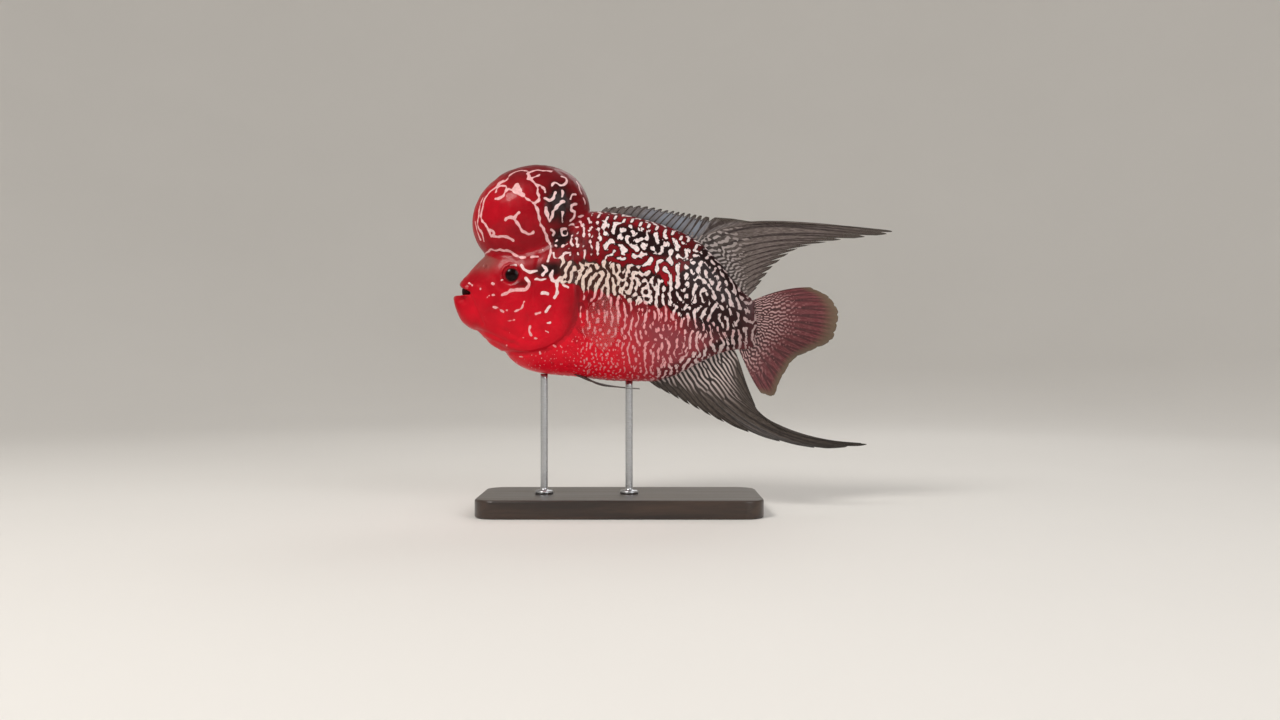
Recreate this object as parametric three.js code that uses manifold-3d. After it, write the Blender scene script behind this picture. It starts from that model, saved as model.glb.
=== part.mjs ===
// A life-size still model of a flowerhorn cichlid, held over a plain display stand by two rods.
// Millimetres, +Z up. The head points to -X and the fish's left side faces -Y.
// The origin is the middle of the underside of the stand's base.
import * as THREE from "three";
import { mergeVertices } from "three/addons/utils/BufferGeometryUtils.js";
import Module from "manifold-3d";

const wasm = await Module();
wasm.setup();

// Driving sizes
const GAP = 0.3; // left between pieces that touch
const SNOUT_X = -105.6; // tip of the upper lip
const CHIN_X = -109.6; // tip of the lower lip
const TAIL_X = 91; // end of the fleshy tail stalk, 201 mm behind the chin
const BASE = { length: 184, width: 84, height: 12, corner: 14, bevel: 1.5 };
const ROD = { radius: 2.4, places: [-50, 6], sides: 16, sunk: 6 };

// Heights of the back and of the belly, and half of the body's width, along the fish.
const BACK = [
  [SNOUT_X, 149.5], [-103.6, 154.4], [-97.7, 159.1], [-88.4, 169], [-79, 177], [-59.5, 187],
  [-39.5, 194.5], [-18.5, 198], [0, 196.2], [20, 191.4], [39.5, 184.6], [53, 176.8],
  [66, 164], [76, 150.8], [84.5, 142], [TAIL_X, 139],
];
const BELLY = [
  [SNOUT_X, 148.5], [-104.8, 128], [-101, 122.4], [-95.7, 119.5], [-91.7, 117], [-87.8, 112.5],
  [-83.8, 109], [-76, 105.4], [-71.3, 100], [-66, 96], [-53, 91.4], [-30, 89.2], [0, 86.2],
  [20, 86], [33, 88.8], [46, 94.7], [56, 100], [66, 104.4], [76, 106.8], [TAIL_X, 107.6],
];
const HALF_WIDTH = [
  [SNOUT_X, 6], [-103, 9.5], [-98, 12.8], [-89, 17], [-79, 20.4], [-66, 23], [-53, 25],
  [-40, 26.2], [-20, 26.4], [0, 25.6], [20, 23.4], [40, 19.4], [53, 15.6], [66, 11.2],
  [76, 8], [84.5, 5], [TAIL_X, 3],
];
const MID_SHARE = 0.5; // height of the widest line, as a share of the body's depth
const BACK_ROUND = 2.15; // section powers: 2 is an ellipse, more is squarer
const BELLY_ROUND = 2.3;

// The lower jaw, which juts past the upper one.
const JAW_END_X = -78;
const JAW_TOP = [[CHIN_X, 140.6], [-108.4, 142.2], [-105.5, 142.7], [-100, 142.9], [JAW_END_X, 143]];
const JAW_BOTTOM = [
  [CHIN_X, 140], [-108.6, 135.6], [-106.7, 130.4], [-104.3, 125.7], [-101, 122.4],
  [-95.7, 119.5], [JAW_END_X, 118],
];
const JAW_HALF_WIDTH = [[CHIN_X, 3], [-108.5, 7], [-104, 10.5], [-98, 13.4], [-90, 15.5], [JAW_END_X, 16]];

// The hump on the forehead: an egg leaning back over the nape.
const HUMP = { x: -58.7, z: 194.3, half: [39.7, 27.5, 33.3], lean: 0.378, around: 28, along: 18 };

const EYE = { x: -69.1, z: 154.6, radius: 6.3, half_depth: 4.2, stands_out: 1.7, pupil: 3.6 };
const NOSTRIL = { x: -87, z: 160.5, radius: 1, depth: 1.8 };
const MOUTH_CORNER = { x: -97.6, z: 143.4 };
const LIP_RADIUS = 1.5;

// Lines in the side view along which the body is parted, as [x, z].
const GILL_LINE = [
  [-17, 206], [-25, 182], [-30.3, 163], [-28.4, 145], [-29.2, 129], [-35, 116.4],
  [-46.5, 108.6], [-61.5, 105.6], [-76.5, 106.3], [-84, 98],
];
const JAW_LINE = [[-99, 143.4], [-97, 143.2], [-92.5, 134], [-88.5, 124], [-88, 108]];
const STALK_LINE = [[69, 172], [72.5, 150], [73, 130], [70, 112], [68, 96]];
const GILL_COVER = [
  [-51, 164], [-42, 168], [-28, 167], [-22, 146], [-24, 126], [-34, 110], [-52, 103],
  [-60, 111], [-58.5, 128], [-54, 148],
];
const COVER = { proud: 0.6, depth: 2.2 };

// Each fin is a membrane with its rays raised on it. Its rays start inside the body.
// A row holds: place along the fin, then root, two guides and tip of the ray there as [x, z].
const DORSAL = {
  rays: 30, rows: 9, membrane: 0.55, ridge: 0.5, root: 2,
  shape: [
    [0, [-17, 192], [-14, 197], [-11.5, 199.2], [-9, 200.8]],
    [0.12, [2, 190], [5, 196.5], [8, 200], [11, 201.9]],
    [0.27, [19, 186], [24, 192.5], [28.5, 196.5], [32, 198.9]],
    [0.42, [35, 179], [40, 186], [45, 191.5], [48.5, 196.4]],
    [0.53, [46, 173], [53, 181], [59, 188], [64, 194]],
    [0.6, [50, 170], [57, 201], [114, 191.5], [181, 184]],
    [0.68, [56, 163], [73, 182], [108, 183], [152, 179.6]],
    [0.78, [63, 154], [78, 167], [96, 171], [121, 174.6]],
    [0.89, [71, 145], [82, 155.5], [90.5, 159], [101.5, 162.4]],
    [1, [80, 137], [85, 142.5], [87, 144.5], [89.5, 147]],
  ],
  notch: [[0, 0.16], [0.5, 0.12], [0.6, 0.02], [0.7, 0.04], [0.8, 0.08], [1, 0.12]],
  sway: [[0, 0], [0.5, 0], [0.6, -7], [0.7, -4], [1, 0]],
};
const ANAL = {
  rays: 18, rows: 9, membrane: 0.55, ridge: 0.5, root: 2,
  shape: [
    [0, [14, 90], [19, 86], [22.5, 83.2], [25.5, 81.5]],
    [0.2, [27, 94], [35, 83], [42, 76], [48.5, 69.2]],
    [0.36, [37, 98], [48, 79], [59, 66], [72, 57.4]],
    [0.46, [43, 101], [54, 79], [76, 56], [108, 45.4]],
    [0.54, [48, 104], [61, 75], [92, 48], [140, 40.8]],
    [0.62, [52, 106], [66, 75], [104, 45.5], [166, 43.8]],
    [0.75, [59, 108], [72, 80], [96, 54], [130, 47.2]],
    [0.88, [66, 110], [75, 90], [84, 74], [97, 59]],
    [1, [74, 111], [78, 102], [80.3, 95], [82, 87]],
  ],
  notch: [[0, 0.14], [0.36, 0.06], [0.5, 0.02], [0.62, 0.02], [0.75, 0.05], [1, 0.1]],
  sway: [[0, 0], [0.4, 1], [0.6, 8], [0.75, 5], [1, 0]],
};
const CAUDAL = {
  rays: 16, rows: 8, membrane: 0.6, ridge: 0.5, root: 3.4,
  shape: [
    [0, [80, 136], [96, 143.5], [110, 148.5], [126, 147.8]],
    [0.15, [80, 133], [99, 139], [120, 144.5], [138.5, 141]],
    [0.3, [80, 130], [100, 131], [125, 131], [144.4, 128.4]],
    [0.44, [80, 127], [100, 125], [122, 120], [141.5, 115]],
    [0.56, [80, 124], [98, 119], [117, 112], [130, 107]],
    [0.68, [79, 121], [94, 113], [108, 105], [117, 101]],
    [0.8, [78, 118], [90, 107], [101, 96], [108, 87.5]],
    [0.91, [77, 115], [86, 101], [95, 85], [101.5, 75.4]],
    [1, [76, 112], [82, 99], [87, 86], [93.5, 78]],
  ],
  notch: [[0, 0.02], [1, 0.02]],
  sway: [[0, -3], [0.3, 0], [0.5, 7], [0.68, 14], [0.85, 10], [1, 3]],
};
const FIN_CURVES = { rest: 0, bend: 1.7 }; // how a fin's sway grows towards the tips

const PECTORAL = {
  rays: 11, rows: 6, membrane: 0.55, ridge: 0.4, root: 1.6,
  x: -27, z: 124.5, height: 8, length: 28.5, up: 0.6, down: -0.74, out: 0.33,
};
const PELVIC = {
  rays: 6, rows: 6, membrane: 0.6, ridge: 0.5, root: 2,
  outer: [[-33, 8, 93], [-20, 10.5, 84], [-4, 11, 82], [13, 9.5, 81]],
  inner: [[-26, 5, 93], [-21, 5, 86.5], [-16, 5, 83.5], [-9, 5, 82.6]],
};

const BODY_GRID = { around: 26, along: 38 };
const JAW_GRID = { around: 18, along: 10 };

// Finishes
const RED_SKIN = finish(0xc0101c, 0.42);
const PEARL_SKIN = finish(0x8a3a40, 0.42);
const FIN_SKIN = finish(0x6b5d5c, 0.5);
const TAIL_SKIN = finish(0x743238, 0.5);
const CLEAR_FIN = finish(0xb06a68, 0.4);
const EYE_GLAZE = finish(0x7a1218, 0.1);
const WOOD = finish(0x2a1d15, 0.45);
const STEEL = finish(0xb9bcc0, 0.3, 1);

function finish(color, roughness, metalness = 0) {
  return new THREE.MeshStandardMaterial({ color, roughness, metalness });
}

// A smooth value through a few [place, value] knots. It never swings past a knot.
function through(knots, x) {
  const n = knots.length;
  if (x <= knots[0][0]) return knots[0][1];
  if (x >= knots[n - 1][0]) return knots[n - 1][1];
  let i = 0;
  while (x > knots[i + 1][0]) i++;
  const slope = (k) => (knots[k + 1][1] - knots[k][1]) / (knots[k + 1][0] - knots[k][0]);
  const tangent = (k) => {
    if (k === 0) return slope(0);
    if (k === n - 1) return slope(n - 2);
    const a = slope(k - 1);
    const b = slope(k);
    return a * b > 0 ? (2 * a * b) / (a + b) : 0;
  };
  const width = knots[i + 1][0] - knots[i][0];
  const t = (x - knots[i][0]) / width;
  const rise = t * t * (3 - 2 * t);
  const lead = t * (1 - t) * (1 - t);
  const tail = t * t * (t - 1);
  const turn = width * (lead * tangent(i) + tail * tangent(i + 1));
  return knots[i][1] * (1 - rise) + knots[i + 1][1] * rise + turn;
}

// A closed geometry as a solid, turned to face outwards.
function solidOf(geometry) {
  const bare = geometry.index ? geometry.toNonIndexed() : geometry.clone();
  bare.deleteAttribute("normal");
  bare.deleteAttribute("uv");
  const merged = mergeVertices(bare, 1e-3);
  const vertProperties = merged.attributes.position.array;
  const triVerts = new Uint32Array(merged.index.array);
  const made = new wasm.Manifold(new wasm.Mesh({ numProp: 3, vertProperties, triVerts }));
  if (made.volume() > 0) return made;
  for (let i = 0; i < triVerts.length; i += 3) {
    [triVerts[i + 1], triVerts[i + 2]] = [triVerts[i + 2], triVerts[i + 1]];
  }
  return new wasm.Manifold(new wasm.Mesh({ numProp: 3, vertProperties, triVerts }));
}

// The largest closed surface of a solid.
function largest(solid) {
  const parts = solid.decompose();
  return parts.reduce((a, b) => (b.volume() > a.volume() ? b : a));
}

function meshOf(solid, name, material) {
  const { vertProperties, triVerts, numProp, numVert } = largest(solid).getMesh();
  const places = new Float32Array(numVert * 3);
  for (let i = 0; i < numVert; i++) {
    places.set(vertProperties.subarray(i * numProp, i * numProp + 3), i * 3);
  }
  const geometry = new THREE.BufferGeometry();
  geometry.setAttribute("position", new THREE.BufferAttribute(places, 3));
  geometry.setIndex(new THREE.BufferAttribute(triVerts, 1));
  geometry.computeVertexNormals();
  const mesh = new THREE.Mesh(geometry, material);
  mesh.name = name;
  return mesh;
}

// A sphere's surface moved to shape(share along, angle around), poles at both ends.
function moulded(around, along, shape) {
  const ball = new THREE.SphereGeometry(1, around, along);
  const place = ball.attributes.position;
  for (let i = 0; i < place.count; i++) {
    const share = Math.acos(THREE.MathUtils.clamp(place.getY(i), -1, 1)) / Math.PI;
    const angle = Math.atan2(place.getZ(i), place.getX(i));
    place.setXYZ(i, ...shape(share, angle));
  }
  return solidOf(ball);
}

const power = (value, exponent) => Math.sign(value) * Math.abs(value) ** exponent;

// A body of rounded sections between two heights. grow moves its whole surface out.
function lofted(grid, ends, top, bottom, half, grow = 0) {
  return moulded(grid.around, grid.along, (share, angle) => {
    const swing = (1 - Math.cos(Math.PI * share)) / 2;
    const x = ends[0] + (ends[1] - ends[0]) * swing;
    const close = Math.min(1, Math.sin(Math.PI * share) ** 0.7 * 2.2) * (share % 1 ? 1 : 0);
    const high = through(top, x);
    const low = through(bottom, x);
    const middle = low + (high - low) * MID_SHARE;
    const up = Math.cos(angle) > 0;
    const round = 2 / (up ? BACK_ROUND : BELLY_ROUND);
    const reach = (up ? high - middle : middle - low) + grow;
    const out = grow * Math.sign(share - 0.5) * (Math.abs(share - 0.5) > 0.45 ? 1 : 0);
    return [
      x + out,
      close * (through(half, x) + grow) * power(Math.sin(angle), round),
      middle + close * reach * power(Math.cos(angle), round),
    ];
  });
}

const trunkShape = (grow) => lofted(BODY_GRID, [SNOUT_X, TAIL_X], BACK, BELLY, HALF_WIDTH, grow);
const jawShape = (grow) =>
  lofted(JAW_GRID, [CHIN_X, JAW_END_X], JAW_TOP, JAW_BOTTOM, JAW_HALF_WIDTH, grow);

// How far the body's side lies from the middle plane at a place of the side view.
function sideAt(x, z) {
  const high = through(BACK, x);
  const low = through(BELLY, x);
  const middle = low + (high - low) * MID_SHARE;
  const share = z > middle ? (z - middle) / (high - middle) : (middle - z) / (middle - low);
  const round = z > middle ? BACK_ROUND : BELLY_ROUND;
  return through(HALF_WIDTH, x) * Math.max(0, 1 - share ** round) ** (1 / round);
}

function egg(at, half, lean, around, along) {
  const ball = new THREE.SphereGeometry(1, around, along);
  ball.scale(...half);
  ball.rotateY(-lean);
  ball.translate(...at);
  return solidOf(ball);
}

const humpShape = (grow) =>
  egg([HUMP.x, 0, HUMP.z], HUMP.half.map((r) => r + grow), HUMP.lean, HUMP.around, HUMP.along);

// A plate through the whole width of the fish, with an outline given in the side view.
function plate(outline, from = -60, to = 60) {
  const shape = new THREE.Shape(outline.map(([x, z]) => new THREE.Vector2(x, z)));
  const geometry = new THREE.ExtrudeGeometry(shape, { depth: to - from, bevelEnabled: false });
  geometry.rotateX(Math.PI / 2);
  geometry.translate(0, to, 0);
  return solidOf(geometry);
}

// Points along a smooth line through a few [x, z] places.
function lineOf(places, steps) {
  const curve = new THREE.SplineCurve(places.map(([x, z]) => new THREE.Vector2(x, z)));
  return curve.getSpacedPoints(steps);
}

// The same line moved sideways.
function besideLine(places, steps, offset) {
  const line = lineOf(places, steps);
  return line.map((p, i) => {
    const a = line[Math.max(0, i - 1)];
    const b = line[Math.min(line.length - 1, i + 1)];
    const normal = new THREE.Vector2(a.y - b.y, b.x - a.x).normalize();
    return [p.x + normal.x * offset, p.y + normal.y * offset];
  });
}

// A thin curved wall along a line of the side view, which parts what it crosses.
function partingWall(places, steps) {
  const front = besideLine(places, steps, GAP / 2);
  const back = besideLine(places, steps, -GAP / 2);
  return plate([...front, ...back.reverse()]);
}

// A lip: a tube round the front of a jaw, thinner towards the corners of the mouth.
function lip(tipX, tipZ, halfWidth) {
  const steps = 12;
  return moulded(7, steps, (share, angle) => {
    const turn = (share - 0.5) * Math.PI;
    const radius = LIP_RADIUS * (0.45 + 0.55 * Math.cos(turn)) * (share % 1 ? 1 : 0);
    const x = MOUTH_CORNER.x + (tipX + LIP_RADIUS * 0.6 - MOUTH_CORNER.x) * Math.cos(turn);
    const y = halfWidth * Math.sin(turn);
    const z = MOUTH_CORNER.z + (tipZ - MOUTH_CORNER.z) * Math.cos(turn);
    const away = radius * Math.cos(angle);
    return [x - away * Math.cos(turn), y + away * Math.sin(turn), z + radius * Math.sin(angle)];
  });
}

// A thin curved sheet with both faces split alike. place(u, v) is its middle surface and
// half(u, v) half of its thickness.
function sheet(columns, rows, place, half) {
  const step = 1e-3;
  const grid = [];
  for (let i = 0; i <= columns; i++) {
    for (let j = 0; j <= rows; j++) {
      const u = i / columns;
      const v = j / rows;
      const at = new THREE.Vector3(...place(u, v, i));
      const near = (a, b) => new THREE.Vector3(...place(a, b, i));
      const alongU = near(Math.min(1, u + step), v).sub(near(Math.max(0, u - step), v));
      const alongV = near(u, Math.min(1, v + step)).sub(near(u, Math.max(0, v - step)));
      const normal = alongU.cross(alongV).normalize();
      grid.push([at, normal, half(u, v, i)]);
    }
  }
  const places = [];
  for (const face of [1, -1]) {
    for (const [at, normal, thick] of grid) {
      places.push(...at.clone().addScaledVector(normal, face * thick));
    }
  }
  const index = [];
  const far = grid.length;
  const id = (i, j) => i * (rows + 1) + j;
  const quad = (a, b, c, d) => index.push(a, b, c, a, c, d);
  for (let i = 0; i < columns; i++) {
    for (let j = 0; j < rows; j++) {
      const [a, b, c, d] = [id(i, j), id(i + 1, j), id(i + 1, j + 1), id(i, j + 1)];
      index.push(a, b, c, a, c, d);
      index.push(far + a, far + c, far + b, far + a, far + d, far + c);
    }
  }
  for (let i = 0; i < columns; i++) {
    quad(id(i + 1, 0), id(i, 0), far + id(i, 0), far + id(i + 1, 0));
    quad(id(i, rows), id(i + 1, rows), far + id(i + 1, rows), far + id(i, rows));
  }
  for (let j = 0; j < rows; j++) {
    quad(id(0, j), id(0, j + 1), far + id(0, j + 1), far + id(0, j));
    quad(id(columns, j + 1), id(columns, j), far + id(columns, j), far + id(columns, j + 1));
  }
  const geometry = new THREE.BufferGeometry();
  geometry.setAttribute("position", new THREE.Float32BufferAttribute(places, 3));
  geometry.setIndex(index);
  return solidOf(geometry);
}

const bezier = (a, b, c, d, t) =>
  a * (1 - t) ** 3 + 3 * b * t * (1 - t) ** 2 + 3 * c * t * t * (1 - t) + d * t ** 3;

// Thickness of a fin: a crest along each ray, thinning from the root to the edge.
function finHalf(fin) {
  return (u, v, column) => {
    const crest = column % 2 === 0 ? fin.ridge * (1 - 0.7 * v) : 0;
    return (fin.membrane + crest + fin.root * Math.max(0, 1 - 5 * v) ** 2) / 2;
  };
}

// A fin in the middle plane, from the curves of its rays.
function middleFin(fin) {
  const knots = (part, axis) => fin.shape.map((row) => [row[0], row[1 + part][axis]]);
  const tables = [0, 1, 2, 3].map((part) => [knots(part, 0), knots(part, 1)]);
  const place = (u, v, column) => {
    const reach = column % 2 === 0 ? v : v * (1 - through(fin.notch, u));
    const [x, z] = [0, 1].map((axis) =>
      bezier(...tables.map((table) => through(table[axis], u)), reach),
    );
    return [x, through(fin.sway, u) * reach ** FIN_CURVES.bend, z];
  };
  return sheet(fin.rays * 2, fin.rows, place, finHalf(fin));
}

// A pectoral fin: a fan spread from a short root behind the gill cover.
function pectoralFin(side) {
  const root = sideAt(PECTORAL.x, PECTORAL.z) - 1.5;
  const place = (u, v, column) => {
    const reach = column % 2 === 0 ? v : v * 0.95;
    const angle = PECTORAL.up + (PECTORAL.down - PECTORAL.up) * u;
    const length = PECTORAL.length * (0.84 + 0.16 * Math.sin(Math.PI * u));
    const out = PECTORAL.out - 0.1 * u;
    return [
      PECTORAL.x + length * reach * Math.cos(angle) * Math.cos(out),
      side * (root + length * reach * Math.sin(out) * (1 - 0.25 * reach)),
      PECTORAL.z + PECTORAL.height * (0.5 - u) + length * reach * Math.sin(angle),
    ];
  };
  return sheet(PECTORAL.rays * 2, PECTORAL.rows, place, finHalf(PECTORAL));
}

// A pelvic fin, laid back under the belly, from its outer to its inner ray.
function pelvicFin(side) {
  const place = (u, v, column) => {
    const reach = column % 2 === 0 ? v : v * (1 - 0.1 * u);
    const [x, y, z] = [0, 1, 2].map((axis) => {
      const ray = [0, 1, 2, 3].map(
        (k) => PELVIC.outer[k][axis] + (PELVIC.inner[k][axis] - PELVIC.outer[k][axis]) * u,
      );
      return bezier(...ray, reach);
    });
    return [x, side * y, z];
  };
  return sheet(PELVIC.rays * 2, PELVIC.rows, place, finHalf(PELVIC));
}

// The eye on one side: a shallow ball that stands a little out of the head.
function eyeBall(side, grow = 0) {
  const y = sideAt(EYE.x, EYE.z) + EYE.stands_out - EYE.half_depth;
  const half = [EYE.radius + grow, EYE.half_depth + grow, EYE.radius + grow];
  return egg([EYE.x, side * y, EYE.z], half, 0, 18, 10);
}

function nostril(side) {
  const tube = new THREE.CylinderGeometry(NOSTRIL.radius, NOSTRIL.radius, 2 * NOSTRIL.depth, 10);
  tube.translate(NOSTRIL.x, side * sideAt(NOSTRIL.x, NOSTRIL.z), NOSTRIL.z);
  return solidOf(tube);
}

function mouthGap() {
  const { x, z } = MOUTH_CORNER;
  return plate([[x, z], [-104, 142.9], [-120, 142.6], [-120, 148], [-105, 147.4]]);
}

function baseSlab() {
  const { length, width, height, corner, bevel } = BASE;
  const [a, b] = [length / 2 - bevel - corner, width / 2 - bevel - corner];
  const shape = new THREE.Shape();
  shape.absarc(a, b, corner, 0, Math.PI / 2);
  shape.absarc(-a, b, corner, Math.PI / 2, Math.PI);
  shape.absarc(-a, -b, corner, Math.PI, 1.5 * Math.PI);
  shape.absarc(a, -b, corner, 1.5 * Math.PI, 2 * Math.PI);
  const geometry = new THREE.ExtrudeGeometry(shape, {
    depth: height - 2 * bevel,
    bevelThickness: bevel,
    bevelSize: bevel,
    bevelSegments: 1,
    curveSegments: 5,
  });
  geometry.translate(0, 0, bevel);
  return solidOf(geometry);
}

// A rod from the base into the body, trimmed so that it meets the belly's skin.
function rod(x, body) {
  const low = BASE.height + GAP;
  const high = through(BELLY, x) + ROD.sunk;
  const tube = new THREE.CylinderGeometry(ROD.radius, ROD.radius, high - low, ROD.sides);
  tube.rotateX(Math.PI / 2);
  tube.translate(x, 0, (low + high) / 2);
  return solidOf(tube).subtract(body);
}

// The piece of a parted body that holds a place.
function pieceAt(pieces, at) {
  const probe = egg(at, [1, 1, 1], 0, 8, 6);
  return pieces.find((piece) => piece.intersect(probe).volume() > 0.5);
}

const trunk = trunkShape(0);
const grown = trunkShape(GAP);
const whole = trunk
  .add(jawShape(0))
  .add(lip(SNOUT_X, 149, 12.6))
  .add(lip(CHIN_X, 141.6, 12.6));

const parted = whole
  .subtract(mouthGap())
  .subtract(partingWall(GILL_LINE, 26))
  .subtract(partingWall(JAW_LINE, 10))
  .subtract(partingWall(STALK_LINE, 8))
  .subtract(humpShape(GAP))
  .decompose();

const coverBlock = (grow) => {
  const line = lineOf([...GILL_COVER, GILL_COVER[0]], 24).slice(0, -1);
  const middle = [-44, 140];
  const spread = (p) => {
    const way = new THREE.Vector2(p.x - middle[0], p.y - middle[1]).normalize();
    return [p.x + way.x * grow, p.y + way.y * grow];
  };
  return plate(line.map(spread));
};
const coverShell = trunkShape(COVER.proud).subtract(trunkShape(-COVER.depth));
const edge = besideLine(GILL_LINE, 26, GAP / 2);
const behindGills = plate([...edge, [-84, 60], [60, 60], [60, 206]]);
const covers = coverShell.intersect(coverBlock(0)).subtract(behindGills).decompose();
const coverSeat = coverBlock(GAP).subtract(trunkShape(-COVER.depth - GAP));

const head = [eyeBall(-1, GAP), eyeBall(1, GAP), nostril(-1), nostril(1), coverSeat].reduce(
  (solid, cutter) => solid.subtract(cutter),
  pieceAt(parted, [-62, 0, 140]),
);
const flesh = grown.add(jawShape(GAP));

const fish = new THREE.Group();
const add = (name, solid, material) => fish.add(meshOf(solid, name, material));

add("head", head, RED_SKIN);
add("lower_jaw", pieceAt(parted, [-98, 0, 132]), RED_SKIN);
add("nuchal_hump", humpShape(0), RED_SKIN);
add("torso", pieceAt(parted, [0, 0, 140]), PEARL_SKIN);
add("tail_stalk", pieceAt(parted, [80, 0, 124]), PEARL_SKIN);
add("dorsal_fin", middleFin(DORSAL).subtract(flesh), FIN_SKIN);
add("anal_fin", middleFin(ANAL).subtract(flesh), FIN_SKIN);
add("caudal_fin", middleFin(CAUDAL).subtract(flesh), TAIL_SKIN);
for (const [word, side] of [["left", -1], ["right", 1]]) {
  add(`gill_cover_${word}`, pieceAt(covers, [-45, side * sideAt(-45, 140), 140]), RED_SKIN);
  add(`eye_${word}`, eyeBall(side), EYE_GLAZE);
  add(`pectoral_fin_${word}`, pectoralFin(side).subtract(flesh), CLEAR_FIN);
  add(`pelvic_fin_${word}`, pelvicFin(side).subtract(flesh), CLEAR_FIN);
}
add("stand_base", baseSlab(), WOOD);
add("stand_rod_front", rod(ROD.places[0], flesh), STEEL);
add("stand_rod_rear", rod(ROD.places[1], flesh), STEEL);

export default fish;
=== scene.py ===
"""A life-size still model of a flowerhorn cichlid on a plain display stand.

Shapes are worked out in millimetres, with the head towards -X and the left side towards -Y,
and put into the meshes in metres. Markings are fields worked out over the body's own surface.
"""

import logging
import math
from dataclasses import dataclass, field
from enum import Enum
from typing import Any, Callable, Sequence

import bpy
import numpy as np
from mathutils import Matrix, Vector


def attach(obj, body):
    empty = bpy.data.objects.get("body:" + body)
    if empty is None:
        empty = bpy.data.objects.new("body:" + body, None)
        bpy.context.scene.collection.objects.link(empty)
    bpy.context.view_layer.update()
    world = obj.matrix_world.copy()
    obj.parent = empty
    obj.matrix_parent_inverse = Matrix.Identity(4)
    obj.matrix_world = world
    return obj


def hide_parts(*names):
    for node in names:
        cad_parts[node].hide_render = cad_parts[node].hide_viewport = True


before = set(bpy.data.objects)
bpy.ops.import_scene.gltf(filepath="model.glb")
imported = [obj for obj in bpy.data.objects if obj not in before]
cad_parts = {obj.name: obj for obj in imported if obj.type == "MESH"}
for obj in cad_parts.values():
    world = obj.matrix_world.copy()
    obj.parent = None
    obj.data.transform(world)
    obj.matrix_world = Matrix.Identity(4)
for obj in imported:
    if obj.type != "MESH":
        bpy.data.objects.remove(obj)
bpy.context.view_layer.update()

log = logging.getLogger("flowerhorn")
MM = 0.001
Array = np.ndarray
Knots = tuple[tuple[float, float], ...]


class Side(Enum):
    """Which side of the fish a piece is on, with the sign of its Y."""

    LEFT = -1
    RIGHT = 1

    @property
    def word(self) -> str:
        """The side's name in a piece's name."""
        return self.name.lower()


# ---- numbers and meshes


def smooth_step(low: float, high: float, x: Array) -> Array:
    """A smooth rise from 0 at low to 1 at high: 3t^2 - 2t^3 of the clipped share t.

    Args:
        low: Where the rise starts.
        high: Where it ends.
        x: Places.

    Returns:
        The share at each place.
    """
    t = np.clip((x - low) / (high - low), 0.0, 1.0)
    return t * t * (3.0 - 2.0 * t)


@dataclass(frozen=True)
class Profile:
    """A smooth curve through a few (place, value) knots that never swings past a knot."""

    knots: Knots

    def __call__(self, x: Array | float) -> Array:
        """The curve's value at x: a cubic between knots, its slope there the harmonic mean.

        Args:
            x: Places, any shape.

        Returns:
            The values, in the shape of x.
        """
        at, value = np.array(self.knots, float).T
        slope = np.diff(value) / np.diff(at)
        turn = np.concatenate([slope[:1], np.zeros(len(slope) - 1), slope[-1:]])
        both = slope[:-1] * slope[1:]
        total = np.where(both > 0, slope[:-1] + slope[1:], 1.0)
        turn[1:-1] = np.where(both > 0, 2.0 * both / total, 0.0)
        x = np.clip(np.asarray(x, float), at[0], at[-1])
        i = np.clip(np.searchsorted(at, x, side="right") - 1, 0, len(at) - 2)
        width = at[i + 1] - at[i]
        t = (x - at[i]) / width
        rise = t * t * (3.0 - 2.0 * t)
        bend = width * (t * (1 - t) ** 2 * turn[i] + t * t * (t - 1) * turn[i + 1])
        return value[i] * (1 - rise) + value[i + 1] * rise + bend


def grid_faces(rows: int, columns: int, closed: bool = False) -> Array:
    """Four-cornered faces of a grid of points stored row by row.

    Args:
        rows: Points one way.
        columns: Points the other way.
        closed: Whether the last column joins the first.

    Returns:
        An array of faces by corner.
    """
    across = columns if closed else columns - 1
    i, j = np.meshgrid(np.arange(rows - 1), np.arange(across), indexing="ij")
    i, j = i.ravel(), j.ravel()
    k = (j + 1) % columns
    corners = (i * columns + j, i * columns + k, (i + 1) * columns + k, (i + 1) * columns + j)
    return np.stack(corners, axis=1)


def shell_faces(rows: int, columns: int) -> Array:
    """Faces of a closed sheet: a top grid, the same grid turned over, and a rim round both."""
    top = grid_faces(rows, columns)
    under = top[:, ::-1] + rows * columns
    first, last = np.arange(rows) * columns, np.arange(rows) * columns + columns - 1
    head, tail = np.arange(columns), (rows - 1) * columns + np.arange(columns)
    loop = np.concatenate([head, last[1:], tail[::-1][1:], first[::-1][1:-1]])
    after = np.roll(loop, -1)
    n = rows * columns
    rim = np.stack([after, loop, loop + n, after + n], axis=1)
    return np.concatenate([top, under, rim])


def make_mesh(name: str, points: Array, faces: Array, smooth: bool = True) -> bpy.types.Object:
    """Puts points in millimetres and faces into a new object at the origin.

    Args:
        name: The piece's name.
        points: One row of x, y, z for each point.
        faces: One row of corners for each face.
        smooth: Whether the faces are shaded smooth.

    Returns:
        The new object, linked into the scene.
    """
    mesh = bpy.data.meshes.new(name)
    mesh.from_pydata(points * MM, [], faces)
    mesh.polygons.foreach_set("use_smooth", np.full(len(mesh.polygons), smooth))
    mesh.update()
    piece = bpy.data.objects.new(name, mesh)
    bpy.context.scene.collection.objects.link(piece)
    return piece


def add_field(piece: bpy.types.Object, name: str, values: Array) -> None:
    """Stores one number for each point of a piece, for its material to read."""
    layer = piece.data.attributes.new(name, "FLOAT", "POINT")
    layer.data.foreach_set("value", values.astype(np.float32))


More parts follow.
